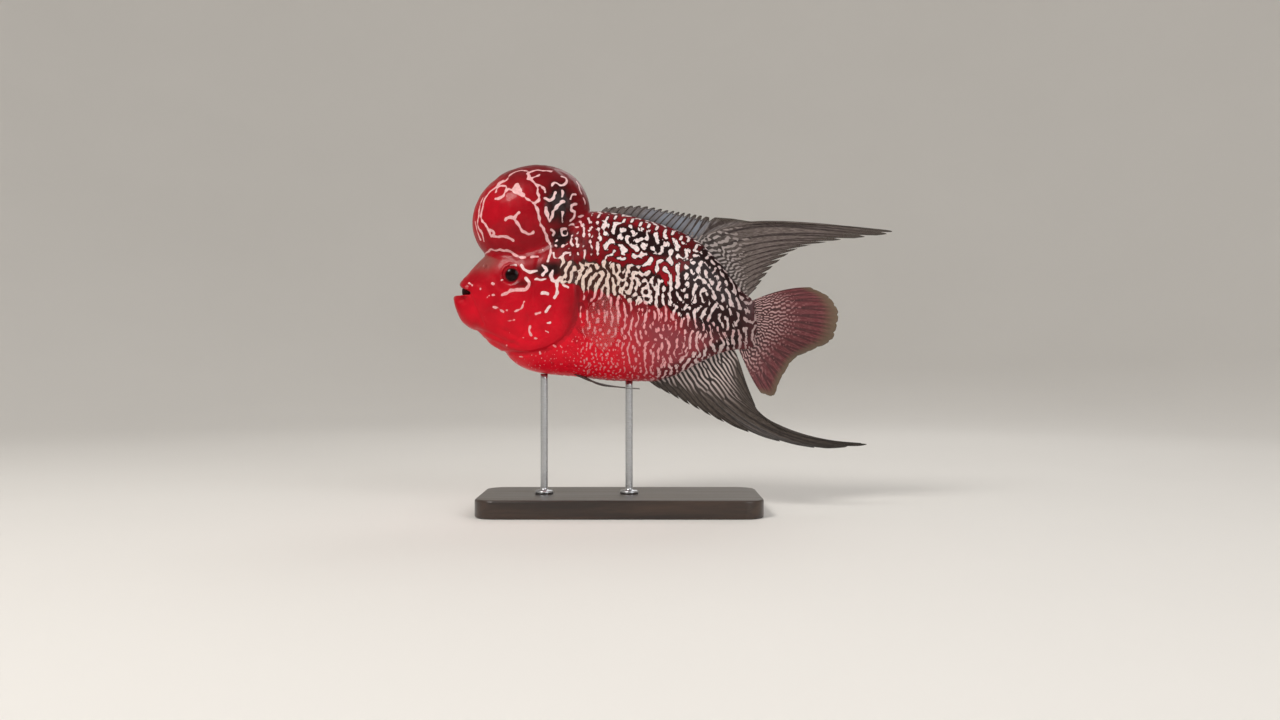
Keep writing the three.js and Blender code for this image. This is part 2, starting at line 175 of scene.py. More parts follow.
def add_map(piece: bpy.types.Object, name: str, places: Array) -> None:
    """Stores a UV map from one (u, v) place for each point."""
    mesh = piece.data
    corner = np.empty(len(mesh.loops), np.int32)
    mesh.loops.foreach_get("vertex_index", corner)
    layer = mesh.uv_layers.new(name=name)
    layer.data.foreach_set("uv", places[corner].astype(np.float32).ravel())


def finished(piece: bpy.types.Object, slot: str, *nodes: str) -> bpy.types.Object:
    """Sets a piece on the body, in the place of the named nodes."""
    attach(piece, "root")
    if nodes:
        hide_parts(*nodes)
    log.info("%s: %d faces", piece.name, len(piece.data.polygons))
    return piece


# ---- shader building


class Wire:
    """A shader value that takes part in Python sums, each of which adds a Math node."""

    def __init__(self, graph: "Graph", socket: Any) -> None:
        """Keeps the graph and the socket that carries the value."""
        self.graph, self.socket = graph, socket

    def _with(self, operation: str, *values: Any) -> "Wire":
        """A Math node of this operation on the values."""
        node = self.graph.node("ShaderNodeMath", {"operation": operation}, dict(enumerate(values)))
        return Wire(self.graph, node.outputs[0])

    def __add__(self, other: Any) -> "Wire":
        """self + other."""
        return self._with("ADD", self, other)

    __radd__ = __add__

    def __sub__(self, other: Any) -> "Wire":
        """self - other."""
        return self._with("SUBTRACT", self, other)

    def __rsub__(self, other: Any) -> "Wire":
        """other - self."""
        return self._with("SUBTRACT", other, self)

    def __mul__(self, other: Any) -> "Wire":
        """self * other."""
        return self._with("MULTIPLY", self, other)

    __rmul__ = __mul__

    def __truediv__(self, other: Any) -> "Wire":
        """self / other."""
        return self._with("DIVIDE", self, other)

    def __pow__(self, other: Any) -> "Wire":
        """self to the power of other."""
        return self._with("POWER", self, other)

    def sine(self) -> "Wire":
        """The sine of the value."""
        return self._with("SINE", self)

    def highest(self, other: Any) -> "Wire":
        """The larger of the two values."""
        return self._with("MAXIMUM", self, other)

    def step(self, low: float, high: float) -> "Wire":
        """A smooth rise from 0 at low to 1 at high."""
        return self.ramp(low, high, 0.0, 1.0, "SMOOTHSTEP")

    def ramp(self, low: float, high: float, to_low: float, to_high: float,
             kind: str = "LINEAR") -> "Wire":
        """The value moved from one range to another.

        Args:
            low: Start of the range it comes from.
            high: End of that range.
            to_low: What low becomes.
            to_high: What high becomes.
            kind: The Map Range node's way between them.

        Returns:
            The moved value.
        """
        sockets = {"Value": self, "From Min": low, "From Max": high, "To Min": to_low, "To Max": to_high}
        node = self.graph.node("ShaderNodeMapRange", {"interpolation_type": kind}, sockets)
        return Wire(self.graph, node.outputs[0])


Colour = tuple[float, float, float]


class Graph:
    """The node graph of one material."""

    def __init__(self, name: str) -> None:
        """Starts a material with only its output and its main shader."""
        self.material = bpy.data.materials.new(name)
        self.material.use_nodes = True
        self.tree = self.material.node_tree
        self.shader = next(n for n in self.tree.nodes if n.type == "BSDF_PRINCIPLED")

    def node(self, kind: str, settings: dict[str, Any] | None = None,
             sockets: dict[Any, Any] | None = None) -> Any:
        """Adds a node.

        Args:
            kind: The node's type name.
            settings: Its properties, set first.
            sockets: Values or wires for its inputs, by name or number.

        Returns:
            The node.
        """
        made = self.tree.nodes.new(kind)
        for key, value in (settings or {}).items():
            setattr(made, key, value)
        for key, value in (sockets or {}).items():
            if isinstance(value, Wire):
                self.tree.links.new(value.socket, made.inputs[key])
            else:
                made.inputs[key].default_value = value
        return made

    def wire(self, kind: str, settings: dict[str, Any] | None = None,
             sockets: dict[Any, Any] | None = None, output: Any = 0) -> Wire:
        """Adds a node and returns one of its outputs as a wire."""
        return Wire(self, self.node(kind, settings, sockets).outputs[output])

    def field(self, name: str) -> Wire:
        """The numbers stored on the mesh under this name."""
        return self.wire("ShaderNodeAttribute", {"attribute_name": name}, output="Fac")

    def place(self) -> Wire:
        """The point's place in the object's own frame, in metres."""
        return self.wire("ShaderNodeTexCoord", output="Object")

    def map(self, name: str) -> Wire:
        """The point's place on a UV map."""
        return self.wire("ShaderNodeUVMap", {"uv_map": name})

    def moved(self, where: Wire, scale: Sequence[float], offset: Sequence[float] = (0, 0, 0)) -> Wire:
        """A place stretched by scale after a shift by offset."""
        return self.wire("ShaderNodeMapping", sockets={"Vector": where, "Scale": scale, "Location": offset})

    def noise(self, where: Wire, scale: float, detail: float = 2.0, rough: float = 0.5,
              warp: float = 0.0) -> Wire:
        """Cloudy noise around 0.5 at a place."""
        sockets = {"Vector": where, "Scale": scale, "Detail": detail, "Roughness": rough, "Distortion": warp}
        return self.wire("ShaderNodeTexNoise", sockets=sockets)

    def blend(self, share: Any, first: Any, second: Any) -> Wire:
        """A colour between two colours."""
        def full(c: Any) -> Any:
            """A colour with its alpha, or the wire as it is."""
            return c if isinstance(c, Wire) else (*c, 1.0)
        sockets = {0: share, 6: full(first), 7: full(second)}
        return self.wire("ShaderNodeMix", {"data_type": "RGBA"}, sockets, output=2)

    def bump(self, height: Wire, depth_mm: float, strength: float = 1.0) -> Wire:
        """A surface normal tilted by a height field of this depth."""
        sockets = {"Height": height, "Distance": depth_mm * MM, "Strength": strength}
        return self.wire("ShaderNodeBump", sockets=sockets, output="Normal")

    def set(self, **sockets: Any) -> bpy.types.Material:
        """Sets the main shader's inputs, with _ for a space in their names, and returns the material."""
        for key, value in sockets.items():
            name = key.replace("_", " ")
            if isinstance(value, Wire):
                self.tree.links.new(value.socket, self.shader.inputs[name])
            else:
                self.shader.inputs[name].default_value = value
        return self.material


# ---- the fish's form


@dataclass(frozen=True)
class Form:
    """The body's outline, sections and landmarks, in millimetres."""

    snout_x: float = -105.6
    chin_x: float = -109.6
    tail_x: float = 91.0
    jaw_end_x: float = -78.0
    back: Profile = Profile((
        (-105.6, 149.5), (-103.6, 154.4), (-97.7, 159.1), (-88.4, 169), (-79, 177),
        (-59.5, 187), (-39.5, 194.5), (-18.5, 198), (0, 196.2), (20, 191.4), (39.5, 184.6),
        (53, 176.8), (66, 164), (76, 150.8), (84.5, 142), (91, 139)))
    belly: Profile = Profile((
        (-105.6, 148.5), (-104.8, 128), (-101, 122.4), (-95.7, 119.5), (-91.7, 117),
        (-87.8, 112.5), (-83.8, 109), (-76, 105.4), (-71.3, 100), (-66, 96), (-53, 91.4),
        (-30, 89.2), (0, 86.2), (20, 86), (33, 88.8), (46, 94.7), (56, 100), (66, 104.4),
        (76, 106.8), (91, 107.6)))
    half_width: Profile = Profile((
        (-105.6, 6), (-103, 9.5), (-98, 12.8), (-89, 17), (-79, 20.4), (-66, 23), (-53, 25),
        (-40, 26.2), (-20, 26.4), (0, 25.6), (20, 23.4), (40, 19.4), (53, 15.6), (66, 11.2),
        (76, 7.6), (84.5, 4), (91, 1.7)))
    jaw_top: Profile = Profile((
        (-109.6, 140.6), (-108.4, 142.2), (-105.5, 142.7), (-100, 142.9), (-78, 143)))
    jaw_bottom: Profile = Profile((
        (-109.6, 140), (-108.6, 135.6), (-106.7, 130.4), (-104.3, 125.7), (-101, 122.4),
        (-95.7, 119.5), (-78, 118)))
    jaw_half: Profile = Profile((
        (-109.6, 3), (-108.5, 7), (-104, 10.5), (-98, 13.4), (-90, 15.5), (-78, 16)))
    back_round: float = 2.15
    belly_round: float = 2.3
    hump_x: float = -58.7
    hump_z: float = 194.3
    hump_half: tuple[float, float, float] = (39.7, 27.5, 33.3)
    hump_lean: float = 0.378
    mouth: tuple[float, float] = (-97.6, 143.4)
    eye: tuple[float, float] = (-69.1, 154.6)
    eye_radius: float = 6.3
    eye_half_depth: float = 4.2
    eye_stands_out: float = 1.7
    pupil: float = 3.8
    nostril: tuple[float, float] = (-87.0, 160.5)
    gill_line: Knots = (
        (-17, 206), (-25, 182), (-30.3, 163), (-28.4, 145), (-29.2, 129), (-35, 116.4),
        (-46.5, 108.6), (-61.5, 105.6), (-76.5, 106.3))

    def side(self, x: Array, z: Array) -> Array:
        """How far the body's side lies from the middle plane at a place of the side view.

        The section is a superellipse: (y / width)^n + (height from the widest line / half depth)^n = 1.
        """
        high, low = self.back(x), self.belly(x)
        middle = (high + low) / 2
        share = np.abs(z - middle) / np.maximum((high - low) / 2, 1e-6)
        n = np.where(z > middle, self.back_round, self.belly_round)
        return self.half_width(x) * np.clip(1 - share**n, 0, None) ** (1 / n)

    def hump_side(self, x: Array, z: Array) -> Array:
        """How far the hump's side lies from the middle plane, and 0 outside its outline."""
        a, b, c = self.hump_half
        cos, sin = math.cos(self.hump_lean), math.sin(self.hump_lean)
        dx, dz = x - self.hump_x, z - self.hump_z
        along, up = dx * cos + dz * sin, dz * cos - dx * sin
        return b * np.sqrt(np.clip(1 - (along / a) ** 2 - (up / c) ** 2, 0, None))

    def flank(self, x: Array, z: Array) -> Array:
        """How far the fish's side, hump or body, lies from the middle plane."""
        return np.maximum(self.side(x, z), self.hump_side(x, z))

    def loft(self, around: int, along: int, ends: tuple[float, float], top: Profile,
             bottom: Profile, half: Profile) -> tuple[Array, Array]:
        """A closed body of superellipse sections between a top and a bottom line.

        Sections lie at x = the ends' span times (1 - cos(pi s)) / 2, and shrink to a point at both
        ends by 2.2 sin(pi s)^0.7, held at 1.

        Args:
            around: Points round a section.
            along: Sections.
            ends: The first and last x.
            top: Height of the upper line.
            bottom: Height of the lower line.
            half: Half of the width.

        Returns:
            Points and faces.
        """
        share = np.linspace(0, 1, along)[:, None]
        angle = np.linspace(0, 2 * math.pi, around, endpoint=False)[None, :]
        x = ends[0] + (ends[1] - ends[0]) * (1 - np.cos(math.pi * share)) / 2
        close = np.minimum(1, np.clip(np.sin(math.pi * share), 0, None) ** 0.7 * 2.2)
        close[0] = close[-1] = 1e-3
        high, low = top(x), bottom(x)
        middle = (high + low) / 2
        n = 2 / np.where(np.cos(angle) > 0, self.back_round, self.belly_round)
        y = close * half(x) * np.sign(np.sin(angle)) * np.abs(np.sin(angle)) ** n
        z = middle + close * (high - low) / 2 * np.sign(np.cos(angle)) * np.abs(np.cos(angle)) ** n
        points = np.stack(np.broadcast_arrays(x, y, z), axis=-1).reshape(-1, 3)
        return with_poles(points, along, around)

    def arc_table(self, x: Array) -> tuple[Array, Array]:
        """Lengths along the skin from the widest line, at a row of angles up a section.

        The section is taken as an ellipse, y = w cos(a) and z = h sin(a), and its length is summed.

        Args:
            x: Places along the body.

        Returns:
            The angles, and the lengths with one row for each x.
        """
        angle = np.linspace(0, math.pi / 2, 25)
        mid = (angle[1:] + angle[:-1]) / 2
        high = ((self.back(x) - self.belly(x)) / 2)[..., None]
        wide = self.half_width(x)[..., None]
        step = np.hypot(high * np.cos(mid), wide * np.sin(mid)) * (angle[1] - angle[0])
        return angle, np.concatenate([np.zeros_like(high), np.cumsum(step, axis=-1)], axis=-1)

    def girth_place(self, points: Array) -> Array:
        """Signed length along the skin from the widest line to each point: up is positive."""
        x, y, z = points.T
        high, low = self.back(x), self.belly(x)
        tall = np.maximum((high - low) / 2, 1e-6)
        lift = (z - (high + low) / 2) / tall
        angle = np.arctan2(np.abs(lift), np.abs(y) / np.maximum(self.half_width(x), 1e-6))
        angles, lengths = self.arc_table(x)
        step = angles[1]
        i = np.clip((angle / step).astype(int), 0, len(angles) - 2)
        rows = np.arange(len(x))
        share = angle / step - i
        arc = lengths[rows, i] * (1 - share) + lengths[rows, i + 1] * share
        return np.sign(lift) * arc

    def on_skin(self, x: Array, arc: Array, sign: int) -> tuple[Array, Array]:
        """Points and outward normals on the body's side at a place and a length up the skin.

        Args:
            x: Places along the body.
            arc: Signed lengths from the widest line.
            sign: -1 for the left side, 1 for the right.

        Returns:
            Points and unit normals.
        """
        angles, lengths = self.arc_table(x)
        find = np.abs(arc)[:, None]
        i = np.clip((lengths < find).sum(axis=1) - 1, 0, len(angles) - 2)
        rows = np.arange(len(x))
        span = lengths[rows, i + 1] - lengths[rows, i]
        a = angles[i] + angles[1] * np.clip((np.abs(arc) - lengths[rows, i]) / span, 0, 1)
        a = np.sign(arc) * a
        high, low, wide = self.back(x), self.belly(x), self.half_width(x)
        tall = (high - low) / 2
        n = 2 / np.where(a > 0, self.back_round, self.belly_round)
        y = wide * np.abs(np.cos(a)) ** n
        z = (high + low) / 2 + tall * np.sign(a) * np.abs(np.sin(a)) ** n
        slope = (self.half_width(x + 1) - self.half_width(x - 1)) / 2 * np.cos(a)
        normal = np.stack([-slope, sign * np.cos(a) * tall / np.hypot(tall, 1), np.sin(a) * wide / tall], axis=1)
        normal[:, 0] -= np.sin(a) * ((self.back(x + 1) - self.back(x - 1)) / 2)
        normal /= np.linalg.norm(normal, axis=1, keepdims=True)
        return np.stack([x, sign * y, z], axis=1), normal


def with_poles(points: Array, rings: int, around: int) -> tuple[Array, Array]:
    """Closes a stack of rings with a fan of triangles, stored as four corners, at each end."""
    faces = grid_faces(rings, around, closed=True)
    first, last = len(points), len(points) + 1
    points = np.concatenate([points, points[:around].mean(0)[None], points[-around:].mean(0)[None]])
    j = np.arange(around)
    k = (j + 1) % around
    base = (rings - 1) * around
    heads = [[first, int(b), int(a)] for a, b in zip(j, k)]
    tails = [[last, base + int(a), base + int(b)] for a, b in zip(j, k)]
    return points, [f for f in faces.tolist()] + heads + tails


FORM = Form()


@dataclass(frozen=True)
class Sight:
    """Where a place seen in the side view lies on the fish.

    The view stands level in front of the left side. A place is moved along its line of sight until
    it meets the flank, by two rounds of asking how wide the flank is there.
    """

    per_pixel: float = 0.66
    middle: tuple[float, float] = (620.0, 360.0)
    height: float = 100.0
    eye_x: float = 13.2
    distance: float = 800.0

    def place(self, pixels: Sequence[tuple[float, float]]) -> Array:
        """Points on the left flank for places given in the 1280 by 720 view."""
        seen = np.array(pixels, float)
        x = (seen[:, 0] - self.middle[0]) * self.per_pixel
        z = self.height - (seen[:, 1] - self.middle[1]) * self.per_pixel
        x0, z0, y = x, z, np.zeros_like(x)
        for _ in range(3):
            y = FORM.flank(x, z)
            nearer = (self.distance - y) / self.distance
            x = self.eye_x + (x0 - self.eye_x) * nearer
            z = self.height + (z0 - self.height) * nearer
        return np.stack([x, -y, z], axis=1)


SIGHT = Sight()


def curve_through(points: Sequence[tuple[float, float]], steps: int) -> Array:
    """Even points along a smooth line through places: each number follows the summed chord length."""
    at = np.array(points, float)
    far = np.concatenate([[0.0], np.cumsum(np.linalg.norm(np.diff(at, axis=0), axis=1))])
    where = np.linspace(0, far[-1], steps)
    out = []
    for axis in range(at.shape[1]):
        slope = np.gradient(at[:, axis], far)
        i = np.clip(np.searchsorted(far, where, side="right") - 1, 0, len(far) - 2)
        width = far[i + 1] - far[i]
        t = (where - far[i]) / width
        rise = t * t * (3 - 2 * t)
        bend = width * (t * (1 - t) ** 2 * slope[i] + t * t * (t - 1) * slope[i + 1])
        out.append(at[i, axis] * (1 - rise) + at[i + 1, axis] * rise + bend)
    return np.stack(out, axis=1)


def from_line(points: Array, line: Array) -> tuple[Array, Array]:
    """Each point's distance from a line of segments, and how far to the line's left it lies.

    Args:
        points: Points in two or three dimensions.
        line: The line's corners, in as many.

    Returns:
        Distances, and the nearest segment's signed side in the first two dimensions.
    """
    best = np.full(len(points), np.inf)
    side = np.zeros(len(points))
    for a, b in zip(line[:-1], line[1:]):
        way = b - a
        share = np.clip(((points - a) @ way) / max(way @ way, 1e-9), 0, 1)
        off = points - a - share[:, None] * way
        far = np.linalg.norm(off, axis=1)
        turn = way[0] * off[:, 1] - way[1] * off[:, 0]
        near = far < best
        best = np.where(near, far, best)
        side = np.where(near, np.sign(turn) * far, side)
    return best, side


def clouds(points: Array, size: float, seed: int, waves: int = 20) -> Array:
    """Smooth random hills of about this size: a sum of sine waves in random directions."""
    draw = np.random.default_rng(seed)
    way = draw.normal(size=(waves, points.shape[1]))
    way *= (2 * math.pi / size) * draw.uniform(0.6, 1.2, (waves, 1)) / np.linalg.norm(way, axis=1, keepdims=True)
    phase = draw.uniform(0, 2 * math.pi, waves)
    return np.sin(points @ way.T + phase).sum(axis=1) / math.sqrt(waves / 2)


@dataclass(frozen=True)
class Weave:
    """One kind of worm-like pattern and where it lies.

    Attributes:
        length: Wave length in cells.
        lean: How much waves along the first axis are favoured, from 0 to 1.
        bias: Below 0 leaves short worms and dots, and 0 long ones.
        where: Its share at each cell, or one number.
    """

    length: float
    lean: float
    bias: float
    where: Any = 1.0


def labyrinth(shape: tuple[int, int], weaves: Sequence[Weave], seed: int, rounds: int = 5) -> Array:
    """A worm-like pattern that grows out of random spots on a grid.

    Each round keeps only the waves near a chosen length, by a ring-shaped filter of the grid's
    frequencies, and squashes the sum with tanh, so that spots of that size sharpen and join.

    Args:
        shape: Rows and columns.
        weaves: The kinds of pattern, blended by their shares.
        seed: Seed of the random spots.
        rounds: How often the pattern is filtered.

    Returns:
        The last filtered sum, with a spread of about 1.
    """
    draw = np.random.default_rng(seed)
    grid = draw.normal(size=shape)
    down, across = np.meshgrid(np.fft.fftfreq(shape[0]), np.fft.fftfreq(shape[1]), indexing="ij")
    radius = np.hypot(down, across) + 1e-9
    rings = [np.exp(-((radius * weave.length - 1) ** 2) / (2 * 0.34**2))
             * (1 - weave.lean + weave.lean * (down / radius) ** 2) for weave in weaves]
    total = grid
    for _ in range(rounds):
        waves = np.fft.fft2(grid)
        parts = [np.fft.ifft2(waves * ring).real for ring in rings]
        total = sum(part / part.std() * weave.where for part, weave in zip(parts, weaves))
        grid = np.tanh(1.8 * (total + sum(weave.bias * weave.where for weave in weaves)))
    return total


def sampled(grid: Array, row: Array, column: Array) -> Array:
    """A grid's value between its cells, blended from the four around, wrapping at the edges."""
    i, j = np.floor(row).astype(int), np.floor(column).astype(int)
    a, b = row - i, column - j
    n, m = grid.shape
    i, j, i2, j2 = i % n, j % m, (i + 1) % n, (j + 1) % m
    return (grid[i, j] * (1 - a) * (1 - b) + grid[i2, j] * a * (1 - b)
            + grid[i, j2] * (1 - a) * b + grid[i2, j2] * a * b)


@dataclass(frozen=True)
class Stroke:
    """One drawn mark: its width in millimetres and its places in the side view's pixels."""

    width: float
    pixels: tuple[tuple[float, float], ...]


@dataclass
class Markings:
    """The worm-like marks, ground colours and painted light and shade of skin and scales, as fields over the body.
    """

    cell: float = 0.35
    x_start: float = -60.0
    x_end: float = 104.0
    arc_end: float = 78.0
    band_top: Profile = Profile((
        (-60, 166), (-40, 164), (-8, 162.5), (10, 160), (25, 154), (32, 149), (38, 153),
        (48, 166), (60, 174), (75, 162), (91, 148)))
    band_low: Profile = Profile((
        (-60, 152), (-30, 146.5), (-4, 141.5), (12, 136.5), (29, 133.5), (43, 127.5),
        (55, 126), (71, 121), (91, 114)))
    strokes: tuple[Stroke, ...] = (
        Stroke(1.5, ((528.7, 175), (530.3, 179), (535.3, 184), (537.3, 187), (537.8, 193), (539, 199),
                     (535.3, 204), (537.8, 210), (539, 217), (540.3, 223), (543.7, 230), (546.7, 235),
                     (547.3, 239), (550, 245), (550.7, 252), (547.8, 261))),
        Stroke(1.5, ((537.3, 185), (542, 186.7), (545.3, 191.7))),
        Stroke(1.4, ((535.3, 204), (532, 201.7), (526.2, 198.3), (520.3, 193.3))),
        Stroke(3.6, ((519, 192), (517, 187))), Stroke(2.4, ((523, 196), (514, 189), (517, 184.5))),
        Stroke(1.4, ((513, 190), (507.8, 189.2), (505.7, 191.7), (502.8, 197.5), (499.5, 198.7), (495.3, 198.3))),
        Stroke(1.4, ((496.2, 192.5), (497.8, 188.3), (502, 185.8), (506.2, 187.5), (505.7, 191))),
        Stroke(1.5, ((500.3, 182.5), (495.3, 188.3), (490.3, 192.5), (486.2, 196.7), (483.7, 201.7),
                     (482.8, 206.7), (481.2, 213.3), (482, 220), (485.3, 225), (487.8, 228.3), (491.2, 235.8),
                     (495.3, 236.7), (502, 236.7), (508.7, 237.5), (512.8, 240.8))),
        Stroke(3.0, ((499, 184), (503, 181))), Stroke(1.3, ((488.7, 229.2), (494.5, 233.3), (491.2, 236.7))),
        Stroke(1.3, ((482.8, 198.3), (479.5, 206.7), (478.7, 216.7), (477.8, 225), (482.8, 235), (484, 242))),
        Stroke(1.2, ((475.5, 222), (477.8, 233.3), (480.3, 240))),
        Stroke(1.4, ((500.3, 183), (506.2, 180), (510.3, 175), (517, 171.7), (527, 170.8), (528.7, 175))),
        Stroke(2.0, ((528, 174), (529, 179))),
        Stroke(1.2, ((529.5, 172.5), (532.8, 170.8), (540.3, 170), (548.7, 171.3), (553.7, 170.8))),
        Stroke(1.3, ((530.3, 179), (533.7, 177.5), (537, 175.8), (539.5, 174.2))),
        Stroke(1.8, ((505, 220.8), (507, 217.5), (510.3, 217), (513.7, 218.3), (516.2, 215.8), (519.5, 212.5))),
        Stroke(1.6, ((513.7, 218.3), (517, 223.3), (519.5, 227.5), (523.7, 231.7), (527.8, 234.2), (532.8, 232.5))),
        Stroke(1.4, ((552, 185.8), (554.5, 182.5), (558.7, 184.7), (563.7, 185), (566.7, 181.7), (565.3, 177.5),
                     (561, 176))),
        Stroke(1.3, ((577, 181.7), (581.2, 191.7), (584.5, 201.7), (585.3, 208.3))),
        Stroke(1.2, ((578.7, 216.7), (584.5, 215.8))),
        Stroke(1.4, ((480.3, 254.2), (485.3, 253.3), (492, 250), (497, 250.8), (502, 250), (508.7, 251.7),
                     (517, 255.8), (523.7, 258.3), (530.3, 257), (537.8, 256.7))),
        Stroke(1.7, ((544.8, 198.7), (550.3, 200), (553.3, 198), (555.3, 193.3))),
        Stroke(1.4, ((562, 190.3), (562, 196.7))), Stroke(1.4, ((570.7, 198.7), (572.3, 195), (576, 194.5))),
        Stroke(1.7, ((563.2, 202.5), (557, 206.7), (553.3, 211.7), (552.3, 217.5), (550.3, 220.8),
                     (548.2, 218.3), (547, 212.5), (546.7, 208))),
        Stroke(2.4, ((562, 202.7), (563.5, 202.2))),
        Stroke(1.6, ((577, 204), (572, 205), (571.2, 209), (574.5, 212.5), (574, 217.5), (570.3, 220.8))),
        Stroke(1.5, ((562, 212.5), (562.3, 217), (562.8, 221.7))),
        Stroke(1.1, ((562, 229.5), (566, 229), (566.5, 235), (562.5, 235.5), (562, 230))),
        Stroke(1.4, ((551.2, 230), (554.2, 232.5), (552.8, 235.8))),
        Stroke(1.4, ((557, 240.8), (554.5, 243.3), (556.2, 246.7))), Stroke(2.4, ((562.8, 245.3), (562.8, 246))),
        Stroke(1.4, ((572, 235), (571.2, 241.7), (572.8, 245.8))), Stroke(1.3, ((576.2, 238.3), (577, 243.3))),
        Stroke(1.3, ((542.6, 249.8), (543, 250.2))),
        Stroke(1.3, ((553.7, 253.3), (554.5, 257.5), (557.8, 258.3), (562, 256.7), (564.5, 254.2), (570.3, 253.3))),
        Stroke(1.4, ((569, 226), (573, 224), (577, 227))), Stroke(1.3, ((580, 222), (583, 228))),
        Stroke(1.7, ((521, 265), (524, 269), (529, 272), (537, 271))),
        Stroke(1.9, ((526, 278), (529, 284), (526, 289), (515, 290), (509, 292), (502, 295))),
        Stroke(1.1, ((510, 265.5), (516, 265.3))),
        Stroke(1.3, ((535, 279.5), (546, 279.5))),
        Stroke(1.3, ((493, 307), (499, 309), (504, 312))),
        Stroke(1.4, ((508, 310), (516, 311), (521, 308), (524, 302))),
        Stroke(1.6, ((542, 292.5), (548, 294))),
        Stroke(1.5, ((546, 311), (550, 306))),
        Stroke(1.5, ((535.5, 314), (540, 313))),
        Stroke(1.4, ((530, 326), (529.5, 331), (531, 335))),
        Stroke(1.2, ((508, 321), (514, 320.5))),
        Stroke(2.0, ((553, 270), (551, 276), (556, 282), (560, 278), (563, 284), (568, 288))),
        Stroke(1.7, ((556, 282), (557, 290), (554, 298))),
        Stroke(1.6, ((543, 266), (547, 270), (543, 275))),
        Stroke(1.3, ((487, 297), (489, 296))), Stroke(1.3, ((493, 295.5), (495, 295))),
        Stroke(1.2, ((480, 288), (480, 289.5))), Stroke(1.1, ((468, 283), (472, 285))),
        Stroke(1.2, ((492, 283.5), (494, 284))), Stroke(1.0, ((501, 322), (501.5, 322))),
        Stroke(1.2, ((548, 323), (550, 323))), Stroke(1.1, ((546, 331), (548, 332))),
        Stroke(1.1, ((509, 333), (509.5, 333.5))), Stroke(1.1, ((523, 338), (523.5, 338))),
        Stroke(1.1, ((535, 338), (537, 339))), Stroke(1.0, ((507, 345), (508, 345))),
        Stroke(1.1, ((501, 280.5), (503, 280.3))), Stroke(1.1, ((484, 317), (485, 317))),
        Stroke(1.0, ((553, 346), (555, 347))), Stroke(1.0, ((520, 357), (522, 357))),
        Stroke(1.0, ((565, 352), (567, 351))), Stroke(1.0, ((540, 352), (541, 354))))
    bare_lines: tuple[tuple[Knots, float, float], ...] = (
        (((-32, 166), (-8, 165.5), (8, 163.5), (20, 158), (30, 151)), 2.3, 1.1),
        (((14, 181), (26, 172), (36, 164), (44, 159)), 1.6, 0.6),
        (((-16, 193), (2, 190), (20, 185), (34, 178)), 1.8, 0.5))
    # Share of bright red off the hump, by height: partly the skin's own red, partly painted light, lighter low on
    # the body and darker high.
    red_and_painted_light_by_height: Profile = Profile((
        (84, 0.95), (108, 0.78), (118, 0.62), (126, 0.56), (134, 0.5), (143, 0.45), (151, 0.4), (170, 0.32)))
    grids: dict[int, Array] = field(default_factory=dict)

    def weights(self, x: Array, z: Array) -> dict[str, Array]:
        """How far each region of the flank holds a place of the side view.

        Args:
            x: Places along the fish.
            z: Heights.

        Returns:
            Shares from 0 to 1, by region.
        """
        top, low = self.band_top(x), self.band_low(x)
        wave = 1.1 * np.sin(x * 0.9) + 0.9 * np.sin(x * 0.43 + 1.0)
        above = smooth_step(-1.5, 1.5, z - top + wave)
        below = smooth_step(-1.5, 1.5, low - z + wave)
        band = (1 - above) * (1 - below)
        rear = smooth_step(26, 58, x)
        flower = np.exp(-(((x - 14) / 27) ** 2 + ((z - 177 + 0.3 * (x - 14)) / 8.5) ** 2) ** 2)
        fine = below * smooth_step(16, -16, x + (z - 110) * 0.5) * smooth_step(126, 108, z)
        nape = above * smooth_step(-6, -18, x)
        back = FORM.back(x) - z
        row = smooth_step(2.0, 3.0, back) * smooth_step(7.2, 6.2, back) * smooth_step(-20, -14, x)
        hem = smooth_step(11.0, 6.0, z - FORM.belly(x)) * smooth_step(16, 30, x) * smooth_step(84, 72, x)
        return {"above": above, "below": below, "band": band, "rear": rear, "nape": nape, "hem": hem,
                "flower": flower * above, "fine": fine, "row": row * smooth_step(62, 56, x) * above}

    def prepare(self, sign: int) -> Array:
        """Grows the pattern of one side on a grid of place along the body by length up the skin."""
        if sign in self.grids:
            return self.grids[sign]
        x = np.arange(self.x_start, self.x_end, self.cell)
        arc = np.arange(-self.arc_end, self.arc_end, self.cell)
        xs, arcs = np.meshgrid(x, arc, indexing="ij")
        points, _ = FORM.on_skin(xs.ravel(), arcs.ravel(), -1)
        w = {k: v.reshape(xs.shape) for k, v in self.weights(points[:, 0], points[:, 2]).items()}
        nape = np.clip(w["nape"], 0, 1)
        rear = w["rear"]
        large = w["above"] * (1 - nape) * (1 - 0.5 * rear)
        low = w["below"] * (1 - w["fine"])
        net = w["band"] * smooth_step(36, 24, points[:, 0]).reshape(xs.shape)
        rest = np.clip(1 - nape - large - low - net - w["fine"], 0, 1)
        kinds = ((5.6, 0.12, -0.35, large), (4.6, 0.4, -0.8, nape), (4.8, 0.15, -0.35, rest),
                 (4.0, 0.15, 0.1, net), (4.2, 0.5, -0.3, low), (2.8, 0.3, -0.6, w["fine"]))
        weaves = [Weave(length / self.cell, lean, bias, where) for length, lean, bias, where in kinds]
        self.grids[sign] = labyrinth(xs.shape, weaves, 41 if sign < 0 else 57)
        return self.grids[sign]

    def worms(self, points: Array, shift: Array) -> Array:
        """The grown pattern at points of the skin, each side its own, blended at the midline.

        The pattern is read at a place moved by shift, in millimetres along the body and up the skin.
        """
        arc = FORM.girth_place(points)
        row = (points[:, 0] + shift[:, 0] - self.x_start) / self.cell
        column = (arc + shift[:, 1] + self.arc_end) / self.cell
        left = sampled(self.prepare(-1), row, column)
        right = sampled(self.prepare(1), row, column)
        share = smooth_step(-2, 2, points[:, 1])
        return left * (1 - share) + right * share

